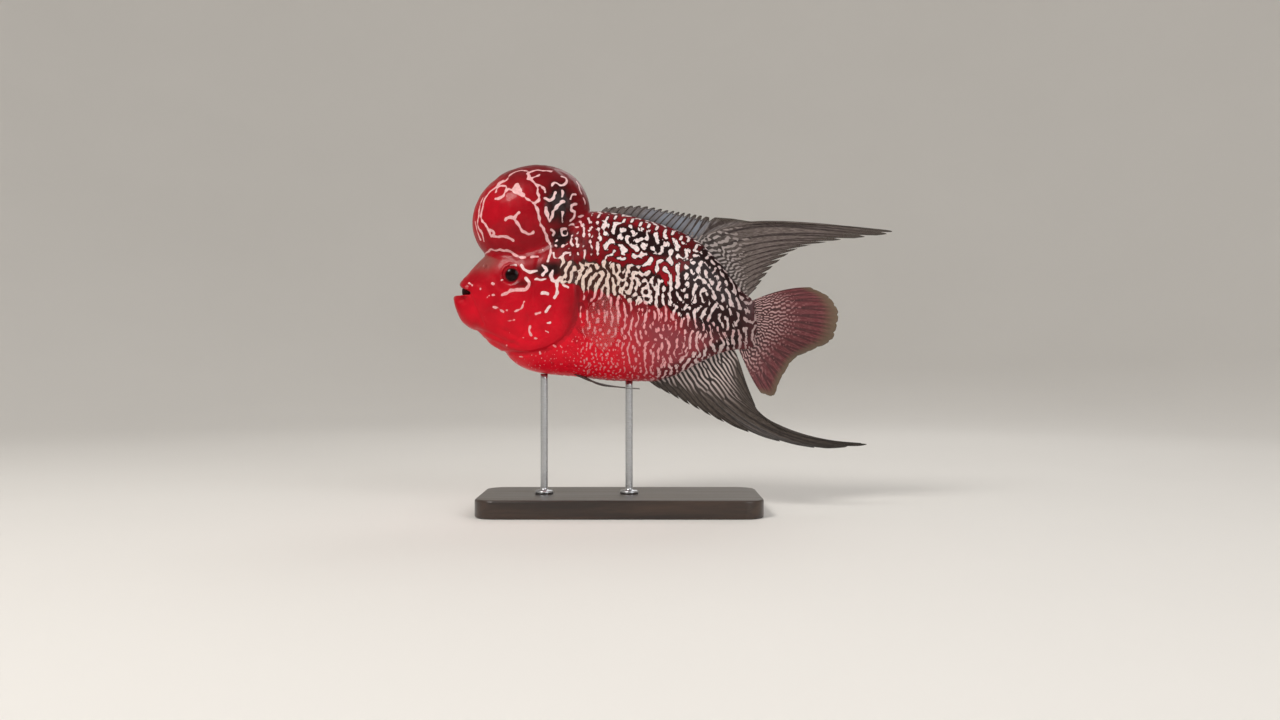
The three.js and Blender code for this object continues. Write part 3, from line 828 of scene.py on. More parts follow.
    def drawn(self, points: Array) -> Array:
        """How far inside the drawn strokes each point lies, in millimetres, less than 0 outside."""
        near = points * (1, 0, 1) - np.abs(points * (0, 1, 0))
        swell = 0.16 * clouds(near, 3.6, 31)
        shift = np.stack([0.22 * clouds(near, 5.0, 32 + k) for k in range(3)], axis=1)
        best = np.full(len(points), -9.0)
        for stroke in self.strokes:
            line = SIGHT.place(stroke.pixels)
            if len(line) > 2:
                line = curve_through([tuple(p) for p in line], 3 * len(line))
            low, high = line.min(0) - 4, line.max(0) + 4
            close = np.flatnonzero(((near > low) & (near < high)).all(axis=1))
            if len(close):
                far, _ = from_line(near[close] + shift[close], line)
                best[close] = np.maximum(best[close], stroke.width / 2 + 0.08 + swell[close] - far)
        return best

    def fields(self, points: Array, shift: Array | None = None) -> dict[str, Array]:
        """All fields that the skin's finish reads.

        pale is above 0 inside a white mark; ink, mauve, dull, ivory and the share of bright red are shares; the
        share of bright red holds painted light and shade as well as the skin's own red.

        Args:
            points: Points on or just over the skin, in millimetres.
            shift: How far the worm pattern is moved at each point, which breaks it from scale to scale.

        Returns:
            One array for each field.
        """
        x, z = points[:, 0], points[:, 2]
        w = self.weights(x, z)
        hump = smooth_step(0.5, 3.0, FORM.hump_side(x, z) * 2 - FORM.side(x, z))
        flat = points[:, [0, 2]]
        _, behind = from_line(flat, curve_through(FORM.gill_line, 60))
        nape = smooth_step(-41, -36, x) * smooth_step(147, 150, z)
        body = np.maximum(smooth_step(-1.0, 2.0, behind), nape) * (1 - hump)
        body = np.where(x > 0, 1.0, body)
        patch = clouds(points, 15, 5)
        bar = 0.12 + 0.68 * w["below"] + 0.16 * w["rear"] * (1 - w["below"]) + 0.32 * w["above"] + 0.3 * w["nape"]
        bar += 0.16 * clouds(points, 8, 6) + 0.25 * w["fine"] - 0.4 * w["hem"]
        bar += w["band"] * (0.3 * smooth_step(12, 34, x) - 0.05)
        bar += 0.22 * patch * w["above"] * (1 - w["rear"]) - 0.22 * clouds(points, 2.4, 9)
        for line, wide, deep in self.bare_lines:
            far, _ = from_line(flat, curve_through(line, 20))
            bar += deep * np.exp(-((far / wide) ** 2))
        bar += 1.2 * w["below"] * smooth_step(-14, -35, x - (z - 120) * 0.12)
        shift = np.zeros((len(points), 2)) if shift is None else shift
        worm = (self.worms(points, shift) - bar) * 0.57 - 3 * w["row"]
        step = np.round((x + 13) / 5.2) * 5.2 - 13
        off = np.sin(step * 7.3)
        up = z - (FORM.back(step) - 4.5 - 0.9 * np.sin(step * 3.1))
        dash = 0.85 + 0.15 * off - np.hypot((x - step - off) - 0.4 * up, np.maximum(np.abs(up) - 0.9, 0))
        worm = np.maximum(worm, np.where(w["row"] > 0.1, dash, -3.0))
        drawn = self.drawn(points)
        pale = np.maximum(worm - 3 * (1 - body), drawn)
        low_patch = ((x + 37) / 8.5) ** 2 + ((z - 178) / 9) ** 2
        back_of_hump = np.exp(-np.minimum(((x + 39) / 11) ** 2 + ((z - 200) / 17) ** 2, low_patch) ** 1.2) * hump
        back_of_hump *= 0.75 + 0.25 * np.exp(-((np.minimum(drawn, 0) / 2.0) ** 2))
        behind_eye = np.exp(-((((x + 44) / 15) ** 2 + ((z - 157.5 - 0.05 * (x + 47)) / 6.5) ** 2)))
        under_eye = 0.6 * np.exp(-((((x + 62) / 9) ** 2 + ((z - 149) / 4) ** 2)))
        black = w["band"] * 0.92 + w["above"] * (0.1 + 0.85 * w["flower"] + 0.45 * w["rear"])
        black += 0.75 * w["below"] * w["rear"] * smooth_step(104, 124, z + 0.15 * x - 8)
        black += 0.5 * w["hem"]
        ink = np.maximum(body * black, back_of_hump)
        ink = np.maximum(ink, np.maximum(0.95 * behind_eye * smooth_step(149, 152, z), under_eye * (1 - body)))
        # Painted light on the hump: the share of bright red is raised on the hump's front as a painted highlight,
        # and lowered on its top (top) and towards its rear as painted shade.
        top = smooth_step(200, 226, z + 0.25 * (x + 58))
        red_and_painted_light = 0.3 + 0.14 * np.exp(-(((x + 82) / 20) ** 2 + ((z - 198) / 16) ** 2))
        red_and_painted_light = np.where(hump > 0.5, red_and_painted_light - 0.2 * top - 0.14 * smooth_step(-62, -30, x), self.red_and_painted_light_by_height(z))
        # Painted shade along the gill cover's lower rear edge: darker red in a narrow band behind the edge, fading
        # forward over the cover. The last term makes the red darker on the head's upper rear.
        painted_gill_edge_shade = np.exp(-((np.minimum(behind, 0) / 6.0) ** 2)) * smooth_step(150, 130, z) * (1 - hump)
        red_and_painted_light -= 0.18 * painted_gill_edge_shade * (behind < 3) + 0.12 * (1 - hump) * smooth_step(-52, -40, x) * smooth_step(150, 160, z)
        red_and_painted_light = np.clip(red_and_painted_light - (0.12 * w["above"] + 0.25 * w["rear"]) * body, 0, 1)
        mauve = body * w["below"] * (0.08 + 0.92 * smooth_step(-18, 30, x + 0.25 * (z - 115))) * 0.95
        mauve *= 1 - 0.75 * smooth_step(16, 3, self.band_low(x) - z) * smooth_step(56, 36, x)
        red_and_painted_light -= 0.3 * body * w["below"] * smooth_step(18, 3, self.band_low(x) - z)
        dull = np.exp(-((((x + 88) / 10) ** 2 + ((z - 164) / 6.5) ** 2) ** 1.5)) * (1 - hump)
        ivory = 1 - w["below"] * (0.8 - 0.3 * w["rear"] - 0.4 * w["hem"]) - 0.25 * w["nape"]
        ivory = np.where(body > 0.5, ivory - 0.2 * w["fine"], np.where(hump > 0.5, 0.4 + 0.35 * back_of_hump, 0.8))
        ivory = np.where((z < 150) & (x < -50), 0.3, ivory)
        stalk = 0.4 * smooth_step(44, 66, x) + 0.6 * smooth_step(66, 90, x)
        cream = body * w["band"] * smooth_step(34, -10, x)
        edge = np.clip(body * (1 - w["below"] * (1 - 0.2 * w["rear"])) * (1 - 0.7 * w["nape"])
                       + 0.6 * back_of_hump, 0, 1)
        cheek = smooth_step(-84, -72, x) * smooth_step(146, 140, z) * smooth_step(112, 118, z) * (behind < 0)
        return {"cheek": cheek * (1 - hump), "pale": pale, "ink": np.clip(ink, 0, 1), "red_and_painted_light": red_and_painted_light, "mauve": np.clip(mauve, 0, 1),
                "dull": dull, "ivory": np.clip(ivory, 0, 1), "cream": cream, "edge": edge, "stalk": stalk}


MARKINGS = Markings()


# ---- finishes


@dataclass(frozen=True)
class WetSkin:
    """Glossy fish skin: crimson ground with painted light and shade in it, ink, pale worm marks with dark rims."""

    deep: Colour = (0.14, 0.0006, 0.004)
    bright: Colour = (0.82, 0.001, 0.018)
    mauve: Colour = (0.19, 0.048, 0.058)
    dull: Colour = (0.24, 0.07, 0.06)
    black: Colour = (0.006, 0.002, 0.002)
    umber: Colour = (0.045, 0.02, 0.015)
    pink: Colour = (0.8, 0.26, 0.28)
    ivory: Colour = (0.87, 0.75, 0.74)
    cream: Colour = (0.74, 0.57, 0.48)
    grey: Colour = (0.4, 0.29, 0.285)
    maroon: Colour = (0.055, 0.014, 0.016)
    scaly: bool = False

    def make(self, name: str) -> bpy.types.Material:
        """Builds the material from the fields that Markings stores on the mesh."""
        g = Graph(name)
        place = g.place()
        cloud = g.noise(place, 90, 3)
        # Deep to bright red by the stored share of bright red, which holds painted light and shade as well as the
        # skin's own red.
        ground = g.blend((g.field("red_and_painted_light") + (cloud - 0.5) * 0.35).step(0.0, 1.0), self.deep, self.bright)
        ground = g.blend(g.field("mauve") * cloud.ramp(0.2, 0.8, 0.8, 1.0), ground, self.mauve)
        ground = g.blend(g.field("dull") * 0.9, ground, self.dull)
        pale = g.field("pale")
        ink = (g.field("ink") + (cloud - 0.5) * 0.3).step(0.1, 0.85)
        rim = pale.step(-0.75, -0.3) * g.field("edge")
        dark = g.blend(g.field("cream") * 0.8, self.black, self.umber)
        ground = g.blend(ink.highest(rim) * 0.96, ground, dark)
        stalk = g.field("stalk")
        ground = g.blend(stalk**6.0, ground, self.maroon)
        light = g.blend(g.field("ivory"), self.pink, self.ivory)
        light = g.blend(g.field("cream") * 0.85, light, self.cream)
        light = g.blend(stalk, light, self.grey)
        light = g.blend(g.noise(place, 700, 2).ramp(0.35, 0.75, 0.0, 0.3), light, self.deep)
        colour = g.blend(pale.step(-0.12, 0.16), ground, light)
        cells = g.wire("ShaderNodeTexVoronoi", {"feature": "SMOOTH_F1"},
                       {"Vector": place, "Scale": 420.0, "Smoothness": 0.35}, output="Distance")
        grain = g.noise(place, 1400, 3, 0.6) * 0.35 - cells * g.field("cheek") * 2.2
        rough = cloud.ramp(0.3, 0.7, 0.3, 0.42)
        normal = g.bump(grain, 0.05 if self.scaly else 0.12, 0.6)
        return g.set(Base_Color=colour, Roughness=rough, Normal=normal, Specular_IOR_Level=0.12,
                     Coat_Weight=0.1, Coat_Roughness=0.1)


@dataclass(frozen=True)
class FinSkin:
    """A thin membrane with darker rays, pale streaks between them and a painted blue-grey sheen."""

    membrane: Colour
    ray: Colour
    streak: Colour
    margin: Colour
    mark: Colour = (0.36, 0.31, 0.3)
    sheen: Colour = (0.2, 0.225, 0.27)
    alpha: float = 0.9
    edge_alpha: float = 0.7
    ripple: float = 0.06
    coat: float = 0.15

    def make(self, name: str) -> bpy.types.Material:
        """Builds the material from the fin's own map: rays counted along U, reach along V."""
        g = Graph(name)
        where = g.map("FinMap")
        shade = g.noise(g.moved(where, (0.8, 5.0, 1.0)), 1.0, 3)
        fibre = g.noise(g.moved(where, (9.0, 2.5, 1.0)), 1.0, 3, 0.6)
        crest = g.field("crest")
        colour = g.blend(fibre.step(0.35, 0.7), self.membrane, self.streak)
        colour = g.blend(crest.step(0.25, 0.8) * shade.ramp(0.3, 0.7, 0.6, 1.0), colour, self.ray)
        # Painted sheen: a blue-grey sheen painted into the membrane between the rays.
        colour = g.blend(g.field("sheen") * (1 - crest.step(0.2, 0.7)), colour, self.sheen)
        colour = g.blend(g.field("dark"), colour, (0.02, 0.014, 0.014))
        colour = g.blend(g.field("margin"), colour, self.margin)
        inner = 1 - g.field("dark").ramp(0.0, 1.0, 1.0, 0.0)
        light = g.blend(inner.step(0.08, 0.7), self.streak, self.mark)
        colour = g.blend(g.field("pale").step(-0.15, 0.2), colour, light)
        alpha = g.field("margin").ramp(0, 1, self.alpha, self.edge_alpha) + crest * 0.1
        normal = g.bump(g.noise(g.moved(where, (3.0, 90.0, 1.0)), 1.0, 2), self.ripple, 0.7)
        return g.set(Base_Color=colour, Roughness=fibre.ramp(0.3, 0.7, 0.35, 0.5), Alpha=alpha,
                     Normal=normal, Specular_IOR_Level=0.25, Coat_Weight=self.coat, Coat_Roughness=0.2)


@dataclass(frozen=True)
class EyeGlaze:
    """A clear glossy eye: black pupil and a dark red iris that is darker next to the pupil."""

    centre: tuple[float, float]
    pupil: float
    radius: float

    def make(self, name: str) -> bpy.types.Material:
        """Builds the rings from the distance to the eye's axis."""
        g = Graph(name)
        shift = (-self.centre[0] * MM, 0.0, -self.centre[1] * MM)
        flat = g.moved(g.place(), (1000.0, 0.0, 1000.0), tuple(1000.0 * s for s in shift))
        far = g.wire("ShaderNodeVectorMath", {"operation": "LENGTH"}, {0: flat}, output="Value")
        fibre = g.noise(g.place(), 900, 3)
        iris = g.blend(fibre.step(0.35, 0.7), (0.24, 0.004, 0.01), (0.36, 0.01, 0.018))
        iris = g.blend(1 - far.step(self.pupil + 0.1, self.pupil + 1.3), iris, (0.07, 0.002, 0.004))
        colour = g.blend(far.step(self.pupil - 0.2, self.pupil + 0.25), (0.005, 0.0008, 0.001), iris)
        return g.set(Base_Color=colour, Roughness=0.16, Specular_IOR_Level=0.1, Coat_Weight=0.06,
                     Coat_Roughness=0.02)


@dataclass(frozen=True)
class StainedWood:
    """Dark stained wood with long grain under satin varnish."""

    dark: Colour = (0.012, 0.006, 0.004)
    light: Colour = (0.05, 0.026, 0.015)

    def make(self, name: str) -> bpy.types.Material:
        """Builds grain that runs along X."""
        g = Graph(name)
        long = g.moved(g.place(), (6.0, 90.0, 60.0))
        grain = g.noise(long, 1.6, 6, 0.6, 0.4)
        pores = g.noise(g.moved(g.place(), (60.0, 1500.0, 900.0)), 1.0, 2)
        colour = g.blend(grain.step(0.3, 0.75), self.dark, self.light)
        colour = g.blend(pores.step(0.62, 0.75) * 0.6, colour, (0.006, 0.003, 0.002))
        return g.set(Base_Color=colour, Roughness=grain.ramp(0.3, 0.7, 0.3, 0.42),
                     Normal=g.bump(pores, 0.04, 0.4), Coat_Weight=0.3, Coat_Roughness=0.2)


@dataclass(frozen=True)
class BrushedSteel:
    """Steel brushed round the rod."""

    colour: Colour = (0.5, 0.51, 0.53)

    def make(self, name: str) -> bpy.types.Material:
        """Builds fine rings in the roughness and the bump."""
        g = Graph(name)
        rings = g.noise(g.moved(g.place(), (60.0, 60.0, 5200.0)), 1.0, 3)
        worn = g.noise(g.place(), 45, 3)
        colour = g.blend(worn.ramp(0.3, 0.7, 0.0, 0.35), self.colour, (0.36, 0.37, 0.39))
        return g.set(Base_Color=colour, Metallic=1.0, Roughness=rings.ramp(0.3, 0.7, 0.22, 0.4),
                     Normal=g.bump(rings, 0.02, 0.4))


# ---- flesh


@dataclass
class Skin:
    """One skin over the head, jaw, hump, gill covers, body and tail stalk."""

    voxel: float = 0.85
    rounds: int = 7
    scale_bed: float = 0.12

    def lip(self, tip_x: float, tip_z: float, half: float, thick: float) -> tuple[Array, Array]:
        """A tube round the front of a jaw, from one mouth corner to the other, thin at both."""
        share = np.linspace(0, 1, 60)[:, None]
        angle = np.linspace(0, 2 * math.pi, 20, endpoint=False)[None, :]
        turn = (share - 0.5) * math.pi
        radius = thick * (0.3 + 0.7 * np.cos(turn))
        x0, z0 = FORM.mouth
        x = x0 + (tip_x + thick - x0) * np.cos(turn)
        y = half * np.sin(turn)
        z = z0 + (tip_z - z0) * np.cos(turn)
        away = radius * np.cos(angle)
        ring = (x - away * np.cos(turn), y + away * np.sin(turn), z + radius * np.sin(angle))
        points = np.stack(np.broadcast_arrays(*ring), axis=-1).reshape(-1, 3)
        return with_poles(points, 60, 20)

    def ball(self, centre: Sequence[float], half: Sequence[float], lean: float = 0.0,
             around: int = 64, along: int = 48) -> tuple[Array, Array]:
        """An egg: a sphere's points stretched by half, leant back about Y, and moved."""
        polar = np.linspace(0.02, math.pi - 0.02, along)[:, None]
        angle = np.linspace(0, 2 * math.pi, around, endpoint=False)[None, :]
        x = half[0] * np.cos(polar) + 0 * angle
        y = half[1] * np.sin(polar) * np.sin(angle)
        z = half[2] * np.sin(polar) * np.cos(angle)
        cos, sin = math.cos(lean), math.sin(lean)
        points = np.stack([x * cos - z * sin, y, x * sin + z * cos], axis=-1).reshape(-1, 3)
        return with_poles(points + np.array(centre), along, around)

    def lining(self) -> bpy.types.Object:
        """The inside of the mouth, a low egg behind the lips that closes the gap from within; its near-black colour
        is painted shade.
        """
        points, faces = self.ball((-97.6, 0, 145), (6.5, 10.8, 6.4), 0.0, 48, 32)
        piece = make_mesh("mouth_lining_painted_shade", points, faces)
        self.outward(piece)
        g = Graph("mouth_lining_painted_shade")
        wet = g.noise(g.place(), 600, 3)
        # Near-black with a little dark red: painted shade inside the mouth.
        piece.data.materials.append(g.set(
            Base_Color=g.blend(wet, (0.008, 0.001, 0.001), (0.03, 0.003, 0.004)), Roughness=0.6,
            Specular_IOR_Level=0.08, Normal=g.bump(wet, 0.1, 0.5)))
        return finished(piece, "red_skin")

    def shell(self, name: str, shapes: Sequence[tuple[Array, Any]]) -> bpy.types.Object:
        """One object of several closed shapes that may run through one another."""
        points, faces, base = [], [], 0
        for place, made in shapes:
            points.append(place)
            faces += [[int(k) + base for k in f] for f in made]
            base += len(place)
        return make_mesh(name, np.concatenate(points), faces)

    def prism(self, outline: Knots) -> tuple[Array, Any]:
        """A closed plate through the whole width, with an outline given in the side view."""
        n = len(outline)
        ends = [np.array([(x, y, z) for x, z in outline]) for y in (-40.0, 40.0)]
        sides = [[i, (i + 1) % n, n + (i + 1) % n, n + i] for i in range(n)]
        return np.concatenate(ends), sides + [list(range(n))[::-1], list(range(n, 2 * n))]

    def joined(self) -> tuple[Array, Array, Array]:
        """The union of all flesh, cut by the mouth and the eyes' sockets, in one even mesh.

        Returns:
            Points, four-cornered faces and edges.
        """
        f = FORM
        whole = self.shell("flesh", [
            f.loft(96, 180, (f.snout_x + 1.8, f.tail_x), f.back, f.belly, f.half_width),
            f.loft(64, 60, (f.chin_x, f.jaw_end_x), f.jaw_top, f.jaw_bottom, f.jaw_half),
            self.lip(f.snout_x, 149.6, 12.0, 2.6), self.lip(-103.3, 151.5, 11.6, 2.6),
            self.lip(-109.9, 140.5, 12.6, 1.8),
            self.ball((f.hump_x, 0, f.hump_z), f.hump_half, f.hump_lean, 96, 72)])
        x, z = f.mouth
        gap = self.prism(((x + 0.6, z + 1.2), (x + 0.6, z - 0.9), (-103, 142.2), (-120, 142.3), (-120, 148.2),
                          (-105, 147.7)))
        r = f.eye_radius - 0.35
        y = float(f.side(np.array(f.eye[0]), np.array(f.eye[1]))) + f.eye_stands_out - f.eye_half_depth
        cuts = [self.shell("mouth_cut", [gap])]
        for side in Side:
            place = (f.eye[0], side.value * y, f.eye[1])
            cuts.append(self.shell("socket_cut", [self.ball(place, (r, f.eye_half_depth + 0.2, r))]))
        for cut in cuts:
            self.outward(cut)
        self.outward(whole)
        first = whole.modifiers.new("even", "REMESH")
        first.mode, first.voxel_size = "VOXEL", self.voxel * MM
        for cut in cuts:
            saw = whole.modifiers.new("cut", "BOOLEAN")
            saw.operation, saw.solver, saw.object = "DIFFERENCE", "MANIFOLD", cut
        last = whole.modifiers.new("even again", "REMESH")
        last.mode, last.voxel_size = "VOXEL", self.voxel * MM
        mesh = bpy.data.meshes.new_from_object(whole.evaluated_get(bpy.context.evaluated_depsgraph_get()))
        points = np.empty(len(mesh.vertices) * 3)
        mesh.vertices.foreach_get("co", points)
        edges = np.empty(len(mesh.edges) * 2, np.int32)
        mesh.edges.foreach_get("vertices", edges)
        corners = np.empty(len(mesh.loops), np.int32)
        mesh.loops.foreach_get("vertex_index", corners)
        for piece in [whole, *cuts]:
            bpy.data.objects.remove(piece)
        return points.reshape(-1, 3) / MM, corners.reshape(-1, 4), edges.reshape(-1, 2)

    def outward(self, piece: bpy.types.Object) -> None:
        """Turns a closed piece's faces outwards."""
        import bmesh
        work = bmesh.new()
        work.from_mesh(piece.data)
        bmesh.ops.recalc_face_normals(work, faces=work.faces)
        work.to_mesh(piece.data)
        work.free()

    def relaxed(self, points: Array, edges: Array, rounds: int) -> Array:
        """Moves each point part way to the middle of its neighbours, a number of times.

        The way is half of the distance, and a tenth of it round the mouth, so that it stays open.
        """
        mouth = np.hypot(points[:, 0] + 102.5, points[:, 2] - 144.5)
        pull = 0.14 + 0.36 * smooth_step(6.0, 10.0, mouth)[:, None]
        n = len(points)
        count = np.bincount(edges.ravel(), minlength=n)[:, None]
        for _ in range(rounds):
            total = np.stack([np.bincount(edges[:, 0], points[edges[:, 1], k], n)
                              + np.bincount(edges[:, 1], points[edges[:, 0], k], n) for k in range(3)], axis=1)
            points = points + pull * (total / count - points)
        return points

    def normals(self, points: Array, faces: Array) -> Array:
        """Outward unit normals: the sum of the cross products of the faces' diagonals at a point."""
        a, b, c, d = (points[faces[:, k]] for k in range(4))
        turn = np.cross(c - a, d - b)
        total = np.stack([sum(np.bincount(faces[:, k], turn[:, axis], len(points)) for k in range(4))
                          for axis in range(3)], axis=1)
        return total / np.maximum(np.linalg.norm(total, axis=1, keepdims=True), 1e-12)

    def relief(self, points: Array) -> Array:
        """Height of folds, flaps and lumps over the plain skin, in millimetres.

        A flap is a rise towards a line that drops off sharply behind it, a fold is a bell-shaped dip
        along a line, and lumps are low random hills.
        """
        x, z = points[:, 0], points[:, 2]
        flat = points[:, [0, 2]]
        hump = smooth_step(0.0, 4.0, FORM.hump_side(x, z) - FORM.side(x, z) * 0.6)
        head = 1 - hump
        _, behind = from_line(flat, curve_through(FORM.gill_line, 60))
        open_part = smooth_step(172, 162, z) * head * smooth_step(-84, -74, x)
        flap = 0.75 * smooth_step(-12, -1.0, behind) * (1 - smooth_step(-0.7, 0.9, behind))
        slit = -0.35 * np.exp(-((behind - 1.2) / 0.9) ** 2)
        height = (flap + slit) * open_part
        folds = (
            (((-52, 166), (-55, 150), (-57.5, 132), (-62, 116), (-70, 110)), 0.4, 1.4),
            (((-97, 143), (-94.5, 137), (-91.5, 130), (-88.6, 123.5)), 0.7, 1.2),
            (((-99, 147.5), (-95, 149.5), (-90, 149)), 0.35, 1.2),
            (((-94, 119.5), (-86, 117.5), (-77, 113.5), (-66, 109.5)), 0.6, 1.3),
            (((-88, 113.5), (-80, 110.5), (-70, 106), (-60, 104)), 0.5, 1.3),
            (((-79, 121), (-70, 117), (-62, 113), (-52, 112)), 0.4, 1.5),
            (((-93, 160.5), (-86, 166.5), (-77, 167.5)), 0.3, 1.2),
            (((-62, 146.5), (-69, 144), (-77, 146.5), (-80, 153)), 0.28, 1.4),
            (((-30, 124), (-28.5, 115), (-34, 106)), 0.3, 1.5))
        for line, deep, wide in folds:
            far, _ = from_line(flat, curve_through(line, 24))
            height -= deep * np.exp(-(far / wide) ** 2) * head
        eye = np.hypot(x - FORM.eye[0], z - FORM.eye[1])
        height += 0.4 * np.exp(-((eye - FORM.eye_radius - 0.9) / 0.9) ** 2) * head
        nose = np.hypot(x - FORM.nostril[0], z - FORM.nostril[1])
        height += 0.35 * np.exp(-((nose - 1.6) / 0.6) ** 2) - 1.5 * np.exp(-((nose / 0.85) ** 2))
        height += 0.5 * np.exp(-(((x + 95.5) / 6) ** 2 + ((z - 164) / 6) ** 2)) * head
        height += 1.2 * np.exp(-(((x + 102.2) / 3.2) ** 2 + ((z - 155) / 3.0) ** 2))
        height += 0.7 * np.exp(-(((x + 68) / 12) ** 2 + ((z - 134) / 12) ** 2))
        height += (0.16 * clouds(points, 19, 11) + 0.05 * clouds(points, 6, 12)) * np.where(hump > 0.5, 1.3, 0.7)
        scaled = smooth_step(0.0, 2.5, behind) * head * (x > -40)
        return np.where(x > -20, -self.scale_bed, height * (1 - scaled) - self.scale_bed * scaled)

    def build(self) -> bpy.types.Object:
        """Makes the skin, its relief, its markings with their painted light and shade, and its finish."""
        points, faces, edges = self.joined()
        points = self.relaxed(points, edges, self.rounds)
        points = points + self.normals(points, faces) * self.relief(points)[:, None]
        skin = make_mesh("fish_skin", points, faces)
        for name, values in MARKINGS.fields(points).items():
            add_field(skin, name, values)
        skin.data.materials.append(WetSkin().make("wet_skin"))
        return finished(skin, "pearl_skin", "head", "lower_jaw", "nuchal_hump", "torso", "tail_stalk",
                        "gill_cover_left", "gill_cover_right")


@dataclass
class Scales:
    """Overlapping scales over one flank, each a thin rounded plate sunk at its front."""

    side: Side
    pitch: float = 4.6
    row: float = 2.55
    length: float = 6.4
    half_height: float = 3.15
    stations: tuple[float, ...] = (0.0, 0.34, 0.5, 0.62, 0.74, 0.87, 1.0)
    cells: int = 8
    patch: tuple[float, float] = (0.0115, 0.0135)

    def centres(self) -> tuple[Array, Array]:
        """Places along the body and lengths up the skin of the scales, every other row shifted."""
        rows = np.arange(-30, 31)
        columns = np.arange(-12, 40)
        i, j = np.meshgrid(rows, columns, indexing="ij")
        x = (j + 0.5 * (i % 2)) * self.pitch
        arc = i * self.row + 0.0 * j
        x, arc = x.ravel(), arc.ravel()
        draw = np.random.default_rng(7 + self.side.value)
        x = x + draw.normal(0, 0.12, len(x))
        arc = arc + draw.normal(0, 0.1, len(x))
        _, lengths = FORM.arc_table(x)
        inside = (np.abs(arc) < lengths[:, -1] - 0.8) & (x < 86.5) & (x > -50)
        point, _ = FORM.on_skin(x, arc, -1)
        _, behind = from_line(point[:, [0, 2]], curve_through(FORM.gill_line, 60))
        clear = FORM.hump_side(x - 2, point[:, 2]) <= 0
        inside &= (behind > 2.0) & clear & ~((x < -38) & (point[:, 2] > 110))
        return x[inside], arc[inside]

    def build(self, skin: bpy.types.Material) -> bpy.types.Object:
        """Lays all scales of the side as one mesh.

        On a scale a runs from 0 at its root to 1 at its free edge and b from -1 to 1 across. Its
        half height is that of a blunt leaf, sqrt(1 - 0.55 (2a - 1)^4), its free edge is rounded by
        b^2, and its lift rises with a from below the skin to above it. One face closes it beneath.
        On the OFBake map each scale has a patch of its own, at its place on an unwrap by length along
        the body and up the skin, a little smaller than the scales' spacing on that unwrap.
        """
        x, arc = self.centres()
        reach = np.array(self.stations)
        n, m = len(reach), self.cells
        a, b = np.meshgrid(reach, np.linspace(-1, 1, m), indexing="ij")
        a, b = a.ravel()[None, :], b.ravel()[None, :]
        draw = np.random.default_rng(19 + self.side.value)
        size = 1 + draw.normal(0, 0.03, (len(x), 1))
        along = (a - 0.42) * self.length * (1 - 0.3 * b**2 * a) * size
        up = b * self.half_height * np.sqrt(1 - 0.55 * (2 * a - 1) ** 4) * size
        xs = np.clip(x[:, None] + along, -60, 90.5)
        arcs = arc[:, None] + up
        _, lengths = FORM.arc_table(xs)
        limit = lengths[..., -1] - 0.3
        arcs = np.clip(arcs, -limit, limit)
        point, normal = FORM.on_skin(xs.ravel(), arcs.ravel(), self.side.value)
        lift = (-0.42 + 0.68 * a**0.8 - 0.12 * b**2 * a) + draw.normal(0, 0.02, (len(x), 1))
        points = point + normal * lift.reshape(-1, 1)
        rows = grid_faces(n, m, closed=False)
        index = np.arange(n * m).reshape(n, m)
        rim = np.concatenate([index[0, :], index[1:, -1], index[-1, -2::-1], index[-2:0:-1, 0]])
        starts = np.arange(len(x)) * n * m
        faces = (rows[None] + starts[:, None, None]).reshape(-1, 4).tolist()
        faces += (rim[None] + starts[:, None]).tolist()
        piece = make_mesh(f"scales_{self.side.word}", points, faces)
        Skin().outward(piece)
        piece.data.set_sharp_from_angle(angle=math.radians(50))
        shift = np.repeat(draw.normal(0, 0.5, (len(x), 2)), n * m, axis=0)
        tone = np.repeat(draw.normal(0, 0.06, len(x)), n * m)
        # The scales carry the skin's fields, the painted light and shade in the red included.
        for name, values in MARKINGS.fields(points, shift).items():
            add_field(piece, name, values + tone if name in ("red_and_painted_light", "ivory") else values)
        wide, tall = self.patch
        u = (0.0 if self.side is Side.LEFT else 0.5) + 0.02 + 0.46 * (x[:, None] + 60) / 156 + (a - 0.5) * wide
        v = 0.5 + arc[:, None] / 160 + b / 2 * tall
        add_map(piece, "OFBake", np.stack([u.ravel(), v.ravel()], axis=1))
        piece.data.materials.append(skin)
        return finished(piece, "pearl_skin")


@dataclass
class Eye:
    """One eye: a shallow glossy ball in its socket."""

    side: Side

    def build(self) -> bpy.types.Object:
        """Makes the ball, an egg half as deep as it is wide."""
        f = FORM
        y = float(f.side(np.array(f.eye[0]), np.array(f.eye[1]))) + f.eye_stands_out - f.eye_half_depth
        centre = (f.eye[0], self.side.value * y, f.eye[1])
        points, faces = Skin().ball(centre, (f.eye_radius, f.eye_half_depth, f.eye_radius), 0.0, 48, 32)
        piece = make_mesh(f"eyeball_{self.side.word}", points, faces)
        Skin().outward(piece)
        piece.data.materials.append(EyeGlaze(f.eye, f.pupil, f.eye_radius).make(f"eye_glaze_{self.side.word}"))
        return finished(piece, "eye_glaze", f"eye_{self.side.word}")


# ---- fins

Ray = tuple[float, tuple[float, float], tuple[float, float], tuple[float, float], tuple[float, float]]


